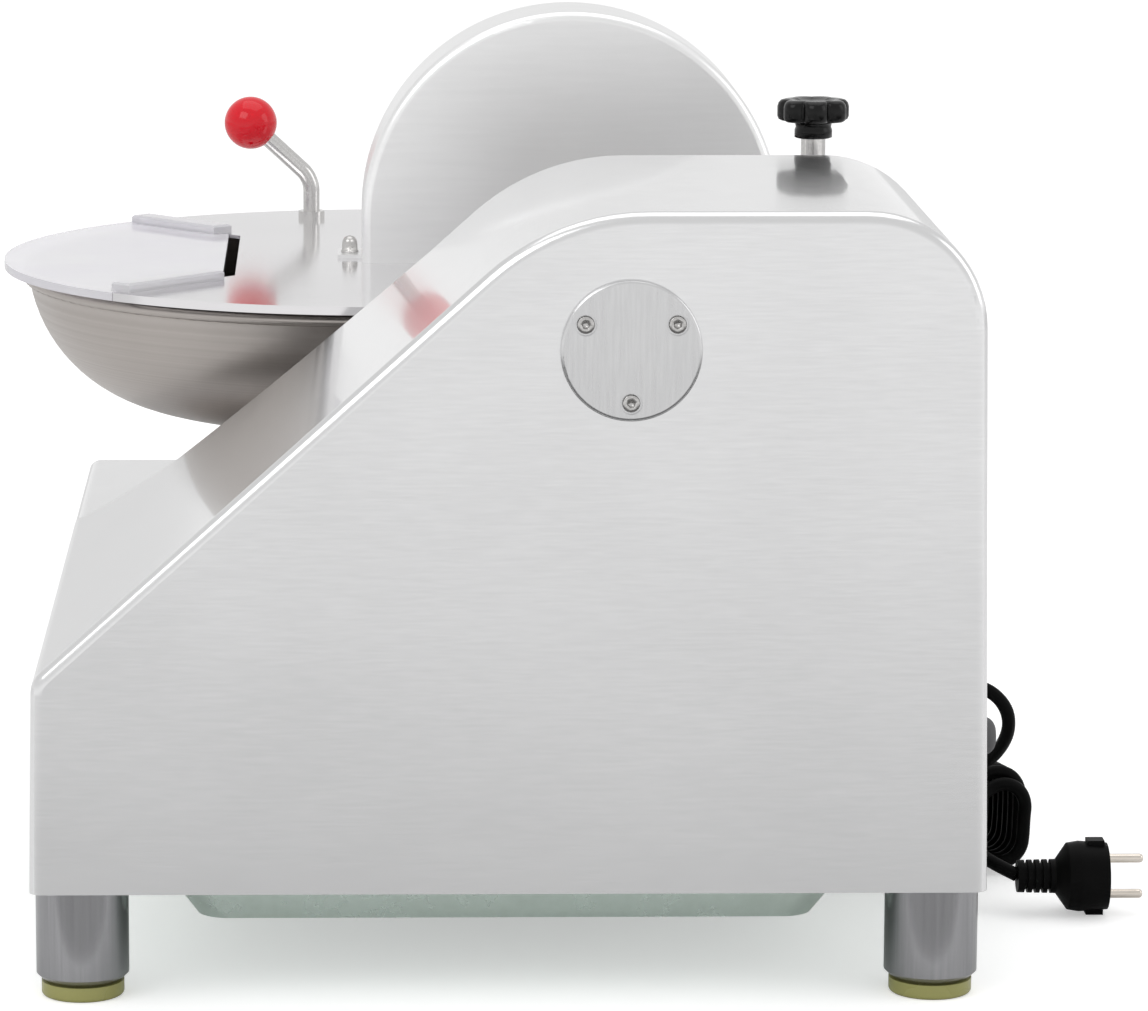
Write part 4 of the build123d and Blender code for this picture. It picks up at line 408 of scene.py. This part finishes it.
def clear_plate(name, clearness):
    """Clear plastic with a faint lilac cast; less clearness leaves it milky."""
    finish = Finish(name, ior=1.49)
    marks = finish.group(SMUDGE, Breadth=14.0)
    finish.colour(finish.blend(finish.spread(marks.outputs["Smudge"], 0, 1), CLEAR_DARK, CLEAR_LIGHT))
    finish.roughness(finish.spread(marks.outputs["Smudge"], 0.03, 0.09))
    finish.shader.inputs["Transmission Weight"].default_value = clearness
    return finish.material


BOWL = place(BOWL_RUN, BOWL_SIDE, 0)
SHAFT = place(BOWL_RUN, SHAFT_SIDE, SHAFT_HEIGHT)

SILVER = drawn_metal(
    "cast_silver", (0.80, 0.80, 0.805), (0.775, 0.775, 0.78),
    (0.2, 0.25), (60, 60, 900), 0.0000015, coat=0.8, wave=0.00009,
)
COVER_SILVER = drawn_metal(
    "cover_silver", (0.70, 0.70, 0.705), (0.665, 0.665, 0.67),
    (0.24, 0.3), (500, 700, 50), 0.000002, coat=0.4,
)
LEG_SILVER = drawn_metal(
    "leg_tube", (0.36, 0.36, 0.37), (0.29, 0.29, 0.30),
    (0.18, 0.24), (500, 500, 12), 0.000003,
)
# The pan has its own greenish zinc tint. Its colour is also raised far above zinc's own, as painted light
# that brightens the shade the pan sits in under the body.
PAN_ZINC_PAINTED_LIGHT = drawn_metal(
    "zinc_pan_painted_light", (0.86, 0.95, 0.90), (0.77, 0.86, 0.80),
    (0.24, 0.36), (60, 90, 90), 0.00001,
)
BOLT_STEEL = drawn_metal(
    "bolt_steel", (0.62, 0.61, 0.60), (0.45, 0.44, 0.43),
    (0.2, 0.34), (900, 900, 900), 0.00001,
)
SHAFT_STEEL = drawn_metal(
    "shaft_steel", (0.72, 0.71, 0.70), (0.58, 0.57, 0.56),
    (0.14, 0.26), (60, 900, 900), 0.00001,
)
BLADE_STEEL = drawn_metal(
    "blade_steel", (0.78, 0.78, 0.79), (0.64, 0.64, 0.65),
    (0.1, 0.2), (900, 40, 900), 0.00001,
)
BOWL_STEEL = turned_metal(
    "spun_bowl", (0.50, 0.465, 0.44), (0.46, 0.425, 0.40),
    (0.32, 0.4), BOWL, fineness=1400.0, depth=0.0000012,
)
LID_STEEL = turned_metal(
    "lid_sheet", (0.76, 0.75, 0.76), (0.72, 0.71, 0.72),
    (0.1, 0.16), BOWL, fineness=700.0, depth=0.0000012,
)
DOME_STEEL = drawn_metal(
    "dome_sheet", (0.95, 0.95, 0.95), (0.91, 0.91, 0.91),
    (0.3, 0.37), (300, 20, 300), 0.000003, wave=0.00012,
)
WHEEL_BRONZE = turned_metal("wheel_bronze", (0.66, 0.46, 0.22), (0.50, 0.34, 0.15), (0.25, 0.4), BOWL)
PULLEY_METAL = turned_metal(
    "pulley_metal", (0.62, 0.62, 0.63), (0.48, 0.48, 0.49),
    (0.25, 0.4), SHAFT, keep=(0, 1, 1),
)
CAST_IRON = moulded("cast_iron", (0.16, 0.16, 0.17), (0.10, 0.10, 0.11), (0.5, 0.7), 0.0002, speckle=350.0)
MOTOR_PAINT = moulded("motor_enamel", (0.11, 0.12, 0.13), (0.08, 0.09, 0.10), (0.3, 0.45), 0.00006, coat=0.3)
CLEAR = clear_plate("clear_window", 0.35)
RED_BALL = moulded(
    "red_ball", (0.76, 0.006, 0.02), (0.68, 0.004, 0.014),
    (0.06, 0.12), 0.000004, specular=0.5,
)
BLACK_KNOB = moulded(
    "black_knob", (0.004, 0.004, 0.004), (0.002, 0.002, 0.002),
    (0.12, 0.2), 0.00001, specular=0.3,
)
BLACK_BOX = moulded("switch_black", (0.03, 0.03, 0.031), (0.018, 0.018, 0.018), (0.4, 0.55))
GREEN_BUTTON = moulded("start_green", (0.02, 0.30, 0.07), (0.015, 0.24, 0.05), (0.25, 0.35), coat=0.3)
RED_BUTTON = moulded("stop_red", (0.55, 0.02, 0.015), (0.46, 0.015, 0.01), (0.25, 0.35), coat=0.3)
GREY_RUBBER = moulded("bumper_grey", (0.10, 0.10, 0.105), (0.07, 0.07, 0.072), (0.5, 0.65))
AMBER_PAD = moulded("amber_pad", (0.36, 0.35, 0.12), (0.27, 0.265, 0.085), (0.2, 0.34), coat=0.2)
BLACK_BELT = moulded("belt_rubber", (0.02, 0.02, 0.02), (0.012, 0.012, 0.012), (0.6, 0.75), 0.0001)
CORD_BLACK = moulded(
    "cord_black", (0.004, 0.004, 0.004), (0.002, 0.002, 0.002),
    (0.34, 0.46), 0.00003, specular=0.06,
)
PLUG_BLACK = moulded(
    "plug_black", (0.004, 0.004, 0.004), (0.002, 0.002, 0.002),
    (0.3, 0.42), 0.00004, specular=0.06,
)
PIN_NICKEL = drawn_metal(
    "pin_nickel", (0.80, 0.74, 0.67), (0.66, 0.60, 0.53),
    (0.1, 0.2), (900, 60, 900), 0.000008,
)

WEAR = {
    "housing": SILVER,
    "bottom_pan": PAN_ZINC_PAINTED_LIGHT,
    "leg_bolts": BOLT_STEEL,
    "shaft_cover": COVER_SILVER,
    "cover_screws": BOLT_STEEL,
    "knife_shaft": SHAFT_STEEL,
    "rear_bearing": SHAFT_STEEL,
    "front_bearing": SHAFT_STEEL,
    "knife_1": BLADE_STEEL,
    "knife_2": BLADE_STEEL,
    "knife_spacer": SHAFT_STEEL,
    "knife_nut": SHAFT_STEEL,
    "shaft_sleeve": SHAFT_STEEL,
    "sleeve_screws": BOLT_STEEL,
    "knife_pulley": PULLEY_METAL,
    "motor_pulley": PULLEY_METAL,
    "drive_belt": BLACK_BELT,
    "motor": MOTOR_PAINT,
    "motor_bolts": BOLT_STEEL,
    "motor_shaft": SHAFT_STEEL,
    "worm_bearing_blocks": CAST_IRON,
    "worm_wheel": WHEEL_BRONZE,
    "bowl": BOWL_STEEL,
    "bowl_spindle": SHAFT_STEEL,
    "bowl_nut": BLACK_KNOB,
    "spindle_tube": COVER_SILVER,
    "spindle_bearings": SHAFT_STEEL,
    "spindle_bolts": BOLT_STEEL,
    "lid_plate": LID_STEEL,
    "window_plate": CLEAR,
    "window_strips": CLEAR,
    "knife_dome": DOME_STEEL,
    "dome_bolts": BOLT_STEEL,
    "lid_handle": SHAFT_STEEL,
    "ball_knob": RED_BALL,
    "hinge_arm_1": LID_STEEL,
    "hinge_arm_2": LID_STEEL,
    "hinge_rod": SHAFT_STEEL,
    "hinge_clamp": COVER_SILVER,
    "clamp_screws": BOLT_STEEL,
    "knob_stud": SHAFT_STEEL,
    "star_knob": BLACK_KNOB,
    "switch_station": BLACK_BOX,
    "start_button": GREEN_BUTTON,
    "stop_button": RED_BUTTON,
    "rear_bumper": GREY_RUBBER,
    "cable_gland": BLACK_BOX,
    "plug_body": PLUG_BLACK,
    "plug_pins": PIN_NICKEL,
    "power_cord": CORD_BLACK,
    "cord_hank": CORD_BLACK,
    "plug_lead": CORD_BLACK,
}
for number in (1, 2, 3, 4):
    WEAR[f"leg_{number}"] = LEG_SILVER
    WEAR[f"foot_pad_{number}"] = AMBER_PAD


def dress_solids():
    """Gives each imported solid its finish."""
    for name, node in NODES.items():
        slots = node.material_slots
        if not slots:
            node.data.materials.append(WEAR[name])
        for slot in slots:
            slot.material = WEAR[name]


# ---------------------------------------------------------------- finely made pieces
def new_piece(name, mesh, material):
    """An object at the origin with its finish; its place is in its mesh."""
    piece = bpy.data.objects.new(name, mesh)
    mesh.materials.clear()
    mesh.materials.append(material)
    bpy.context.scene.collection.objects.link(piece)
    return piece


CREASE_ANGLE = 38


def mesh_of_rings(name, rings):
    """Skin over rings of equal counts, from the lowest to the highest, closed at both ends."""
    mesh = bpy.data.meshes.new(name)
    shape = bmesh.new()
    loops = [[shape.verts.new(point) for point in ring] for ring in rings]
    for low, high in zip(loops, loops[1:]):
        for index in range(len(low)):
            after = (index + 1) % len(low)
            shape.faces.new((low[index], low[after], high[after], high[index]))
    shape.faces.new(list(reversed(loops[0])))
    shape.faces.new(loops[-1])
    for face in shape.faces:
        face.smooth = True
    for edge in shape.edges:
        if len(edge.link_faces) == 2 and edge.calc_face_angle() > math.radians(CREASE_ANGLE):
            edge.smooth = False
    shape.to_mesh(mesh)
    shape.free()
    return mesh


def round_ring(radius, height, count):
    """A circle about the local z axis."""
    angles = [2 * math.pi * index / count for index in range(count)]
    return [(radius * math.cos(angle), radius * math.sin(angle), height) for angle in angles]


def hexagon_ring(corner_radius, height, count):
    """A hexagon about the local z axis, sampled at even angles."""
    flat = corner_radius * math.cos(math.radians(30))
    ring = []
    for index in range(count):
        angle = 2 * math.pi * index / count
        past_corner = (angle + math.radians(30)) % math.radians(60) - math.radians(30)
        radius = flat / math.cos(math.radians(30) - abs(past_corner))
        ring.append((radius * math.cos(angle), radius * math.sin(angle), height))
    return ring


def make_socket_screw():
    """Cap screw, seat at its local z of 0: shank below, rounded head with a hexagon socket above."""
    count = 48
    head, rise, corner, shank = 0.0043, 0.0022, 0.0021, 0.00245
    rings = [
        round_ring(shank * 0.85, -0.0063, count),
        round_ring(shank, -0.0059, count),
        round_ring(shank, 0, count),
        round_ring(head, 0, count),
        round_ring(head, rise * 0.7, count),
        round_ring(head * 0.96, rise * 0.9, count),
        round_ring(head * 0.9, rise, count),
        round_ring(corner * 1.12, rise, count),
        hexagon_ring(corner, rise * 0.93, count),
        hexagon_ring(corner, rise * 0.35, count),
    ]
    return mesh_of_rings("socket_screw", rings)


def make_domed_nut():
    """Domed nut on its bolt, seat at its local z of 0, with the bolt's head under the sheets."""
    count = 48
    corner, shank, cap, base = 0.0051, 0.00295, 0.0044, 0.005
    rings = [
        round_ring(corner * 0.9, -0.006, count),
        round_ring(corner, -0.0054, count),
        round_ring(corner, -0.004, count),
        round_ring(shank, -0.004, count),
        round_ring(shank, 0, count),
        round_ring(corner, 0, count),
        round_ring(corner, 0.0007, count),
        hexagon_ring(corner, 0.0009, count),
        hexagon_ring(corner, base - 0.001, count),
        round_ring(cap, base, count),
    ]
    for step in range(1, 8):
        angle = math.radians(12 * step)
        rings.append(round_ring(cap * math.cos(angle), base + cap * math.sin(angle), count))
    return mesh_of_rings("domed_nut", rings)


FASTENER_INPUTS = [
    ("Geometry", "NodeSocketGeometry"),
    ("Fastener", "NodeSocketObject"),
    ("Axis", "NodeSocketVector"),
    ("Turn", "NodeSocketFloat"),
    ("Finish", "NodeSocketMaterial"),
]
FASTENER_TURN = 23


def make_fastener_tree():
    """Geometry nodes: stands a fastener on every point, each turned a little further than the last."""
    tree = bpy.data.node_groups.new("fasteners_on_points", "GeometryNodeTree")
    for label, kind in FASTENER_INPUTS:
        tree.interface.new_socket(label, in_out="INPUT", socket_type=kind)
    tree.interface.new_socket("Geometry", in_out="OUTPUT", socket_type="NodeSocketGeometry")
    inner = tree.nodes.new("NodeGroupInput")
    outer = tree.nodes.new("NodeGroupOutput")
    source = tree.nodes.new("GeometryNodeObjectInfo")
    order = tree.nodes.new("GeometryNodeInputIndex")
    angle = tree.nodes.new("ShaderNodeMath")
    angle.operation = "MULTIPLY"
    spin = tree.nodes.new("ShaderNodeCombineXYZ")
    lean = tree.nodes.new("FunctionNodeAlignRotationToVector")
    lean.axis = "Z"
    stand = tree.nodes.new("GeometryNodeInstanceOnPoints")
    turn = tree.nodes.new("GeometryNodeRotateInstances")
    real = tree.nodes.new("GeometryNodeRealizeInstances")
    finish = tree.nodes.new("GeometryNodeSetMaterial")
    links = tree.links
    links.new(inner.outputs["Fastener"], source.inputs["Object"])
    links.new(inner.outputs["Axis"], lean.inputs["Vector"])
    links.new(inner.outputs["Geometry"], stand.inputs["Points"])
    links.new(source.outputs["Geometry"], stand.inputs["Instance"])
    links.new(lean.outputs["Rotation"], stand.inputs["Rotation"])
    links.new(order.outputs["Index"], angle.inputs[0])
    links.new(inner.outputs["Turn"], angle.inputs[1])
    links.new(angle.outputs[0], spin.inputs["Z"])
    links.new(stand.outputs["Instances"], turn.inputs["Instances"])
    links.new(spin.outputs["Vector"], turn.inputs["Rotation"])
    links.new(turn.outputs["Instances"], real.inputs["Geometry"])
    links.new(real.outputs["Geometry"], finish.inputs["Geometry"])
    links.new(inner.outputs["Finish"], finish.inputs["Material"])
    links.new(finish.outputs["Geometry"], outer.inputs["Geometry"])
    return tree


def stand_fasteners(name, tree, fastener, places, axis, finish):
    """One piece with a fastener at each place, made by the tree and kept as a plain mesh."""
    points = bpy.data.meshes.new(name + "_places")
    points.from_pydata([tuple(spot) for spot in places], [], [])
    carrier = bpy.data.objects.new(name + "_carrier", points)
    model = bpy.data.objects.new(name + "_model", fastener)
    for item in (carrier, model):
        bpy.context.scene.collection.objects.link(item)
    modifier = carrier.modifiers.new("fasteners", "NODES")
    modifier.node_group = tree
    values = {"Fastener": model, "Axis": axis, "Turn": math.radians(FASTENER_TURN), "Finish": finish}
    for item in tree.interface.items_tree:
        if item.in_out == "INPUT" and item.name in values:
            modifier[item.identifier] = values[item.name]
    bpy.context.view_layer.update()
    graph = bpy.context.evaluated_depsgraph_get()
    mesh = bpy.data.meshes.new_from_object(carrier.evaluated_get(graph))
    carrier.modifiers.remove(modifier)
    for item in (carrier, model):
        bpy.data.objects.remove(item)
    return new_piece(name, mesh, finish)


def ring_of_places(run, side, height, radius, count, first):
    """Places on a circle about an axis along X, the first turned from the side axis."""
    spots = []
    for index in range(count):
        angle = math.radians(first + 360 / count * index)
        spots.append(place(run, side + radius * math.cos(angle), height + radius * math.sin(angle)))
    return spots


NUT_SIDES = (DOME_SIDE - 127, DOME_SIDE + 125.5)


def make_fasteners():
    """The cover's three screws and the dome's two nuts."""
    tree = make_fastener_tree()
    spots = ring_of_places(COVER_FACE, SHAFT_SIDE, SHAFT_HEIGHT, SCREW_CIRCLE_RADIUS, 3, 30)
    screws = stand_fasteners("socket_screws", tree, make_socket_screw(), spots, (1, 0, 0), BOLT_STEEL)
    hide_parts("cover_screws")
    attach(screws, "base")
    spots = [place(BOWL_RUN, side, LID_TOP) for side in NUT_SIDES]
    nuts = stand_fasteners("domed_nuts", tree, make_domed_nut(), spots, (0, 0, 1), BOLT_STEEL)
    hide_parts("dome_bolts")
    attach(nuts, "lid")


# The knob's hub, as radius and height, and its grip, as inset from the lobes and height, in metres.
HUB_PROFILE = [(0.0088, 0.3961), (0.01, 0.3966), (0.01, 0.4005), (0.0094, 0.402), (0.0098, 0.4042)]
GRIP_PROFILE = [
    (0.0052, 0.4048),
    (0.0022, 0.4052),
    (0.0007, 0.406),
    (0, 0.4076),
    (0, 0.4128),
    (0.0006, 0.4148),
    (0.002, 0.4162),
    (0.0042, 0.4168),
    (0.0075, 0.4166),
    (0.0105, 0.4158),
    (0.0135, 0.4155),
]
KNOB_LOBES = 7
KNOB_RADIUS = 0.0194
LOBE_DIP = 0.0042
LOBE_FADE = 0.012


def make_star_knob():
    """Lobed grip with rounded lips and a dished top, on a hub with a waist."""
    centre = place(STUD_RUN, STUD_SIDE, 0)
    count = 168

    def lobed_ring(inset, height):
        ring = []
        for index in range(count):
            angle = 2 * math.pi * index / count
            crown = abs(math.cos(KNOB_LOBES * angle / 2)) ** 0.75
            reach = KNOB_RADIUS - inset - LOBE_DIP * (1 - crown) * max(0.0, 1 - inset / LOBE_FADE)
            ring.append((centre.x + reach * math.cos(angle), centre.y + reach * math.sin(angle), height))
        return ring

    def hub_ring(hub, height):
        return [(centre.x + x, centre.y + y, height) for x, y, _ in round_ring(hub, 0, count)]

    rings = [hub_ring(*step) for step in HUB_PROFILE] + [lobed_ring(*step) for step in GRIP_PROFILE]
    knob = new_piece("lobed_knob", mesh_of_rings("lobed_knob", rings), BLACK_KNOB)
    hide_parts("star_knob")
    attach(knob, "lid_knob")


# ---------------------------------------------------------------- cord
# The cord's route as run, side and height in millimetres: to the coil, round it, out of it and to the plug.
CORD_START = (190, 244.2, 119)
CORD_DOWN = [
    CORD_START,
    (190, 254, 119),
    (192, 266.5, 108.5),
    (198, 270, 94),
    (211, 265.5, 78),
    (229, 257.5, 67),
    (248, 251, 60),
    (267, 246.5, 55),
    (285, 244, 50),
    (299, 243.5, 44),
    (307.5, 245, 36),
]
CORD_LEAD = [
    (250.5, 264.5, 48),
    (243, 257, 43),
    (231, 252.5, 37.5),
    (216, 250.5, 33),
    (201, 250.5, 30.5),
    (188, 254.5, 28),
    (179.5, 262.5, 24.5),
    (175.3, 272, 20.5),
]
COIL_NEAR = Vector((250, 273.5, 32.4))
COIL_FAR = Vector((310, 259.5, 29.4))
COIL_TURNS = 8
COIL_WOUND = 7.5
TURN_POINTS = 16
TURN_RADIUS = 12.9
TURN_STRAIGHT = 12.4
CORD_RISE = [(253.2, 286.3, 41), (252.4, 282.5, 49), (251.7, 273.5, 52.5)]


def turn_offset(share):
    """Side and height from a turn's centre: straight sides and round ends, down from its wall side."""
    bend = math.pi * TURN_RADIUS
    travel = (share % 1) * (2 * bend + 4 * TURN_STRAIGHT)
    if travel < TURN_STRAIGHT:
        return -TURN_RADIUS, -travel
    travel -= TURN_STRAIGHT
    if travel < bend:
        angle = math.pi + travel / TURN_RADIUS
        return TURN_RADIUS * math.cos(angle), TURN_RADIUS * math.sin(angle) - TURN_STRAIGHT
    travel -= bend
    if travel < 2 * TURN_STRAIGHT:
        return TURN_RADIUS, travel - TURN_STRAIGHT
    travel -= 2 * TURN_STRAIGHT
    if travel < bend:
        angle = travel / TURN_RADIUS
        return TURN_RADIUS * math.cos(angle), TURN_RADIUS * math.sin(angle) + TURN_STRAIGHT
    return -TURN_RADIUS, TURN_STRAIGHT - (travel - bend)


def coil_turns():
    """Control points of the upright turns, from the far one to the near one."""
    points = []
    for index in range(int(COIL_WOUND * TURN_POINTS) + 1):
        turned = index / TURN_POINTS
        side, height = turn_offset(turned)
        centre = COIL_FAR.lerp(COIL_NEAR, turned / COIL_TURNS)
        points.append((centre.x, centre.y + side, centre.z + height))
    return points


def make_cord():
    """One smooth curve from the gland, down and round the coil, to the plug."""
    route = CORD_DOWN + coil_turns() + CORD_RISE + CORD_LEAD
    curve = bpy.data.curves.new("mains_cord", "CURVE")
    curve.dimensions = "3D"
    spline = curve.splines.new("NURBS")
    spline.points.add(len(route) - 1)
    for point, station in zip(spline.points, route):
        point.co = (*place(*station), 1.0)
    spline.order_u = 3
    spline.use_endpoint_u = True
    spline.resolution_u = 6
    curve.bevel_depth = CORD_RADIUS
    curve.bevel_resolution = 5
    curve.use_fill_caps = True
    curve.materials.append(CORD_BLACK)
    cord = bpy.data.objects.new("mains_cord", curve)
    bpy.context.scene.collection.objects.link(cord)
    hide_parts("power_cord", "cord_hank", "plug_lead")
    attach(cord, "base")
    return cord


make_camera()
make_room()
dress_solids()
make_fasteners()
make_star_knob()
CORD = make_cord()
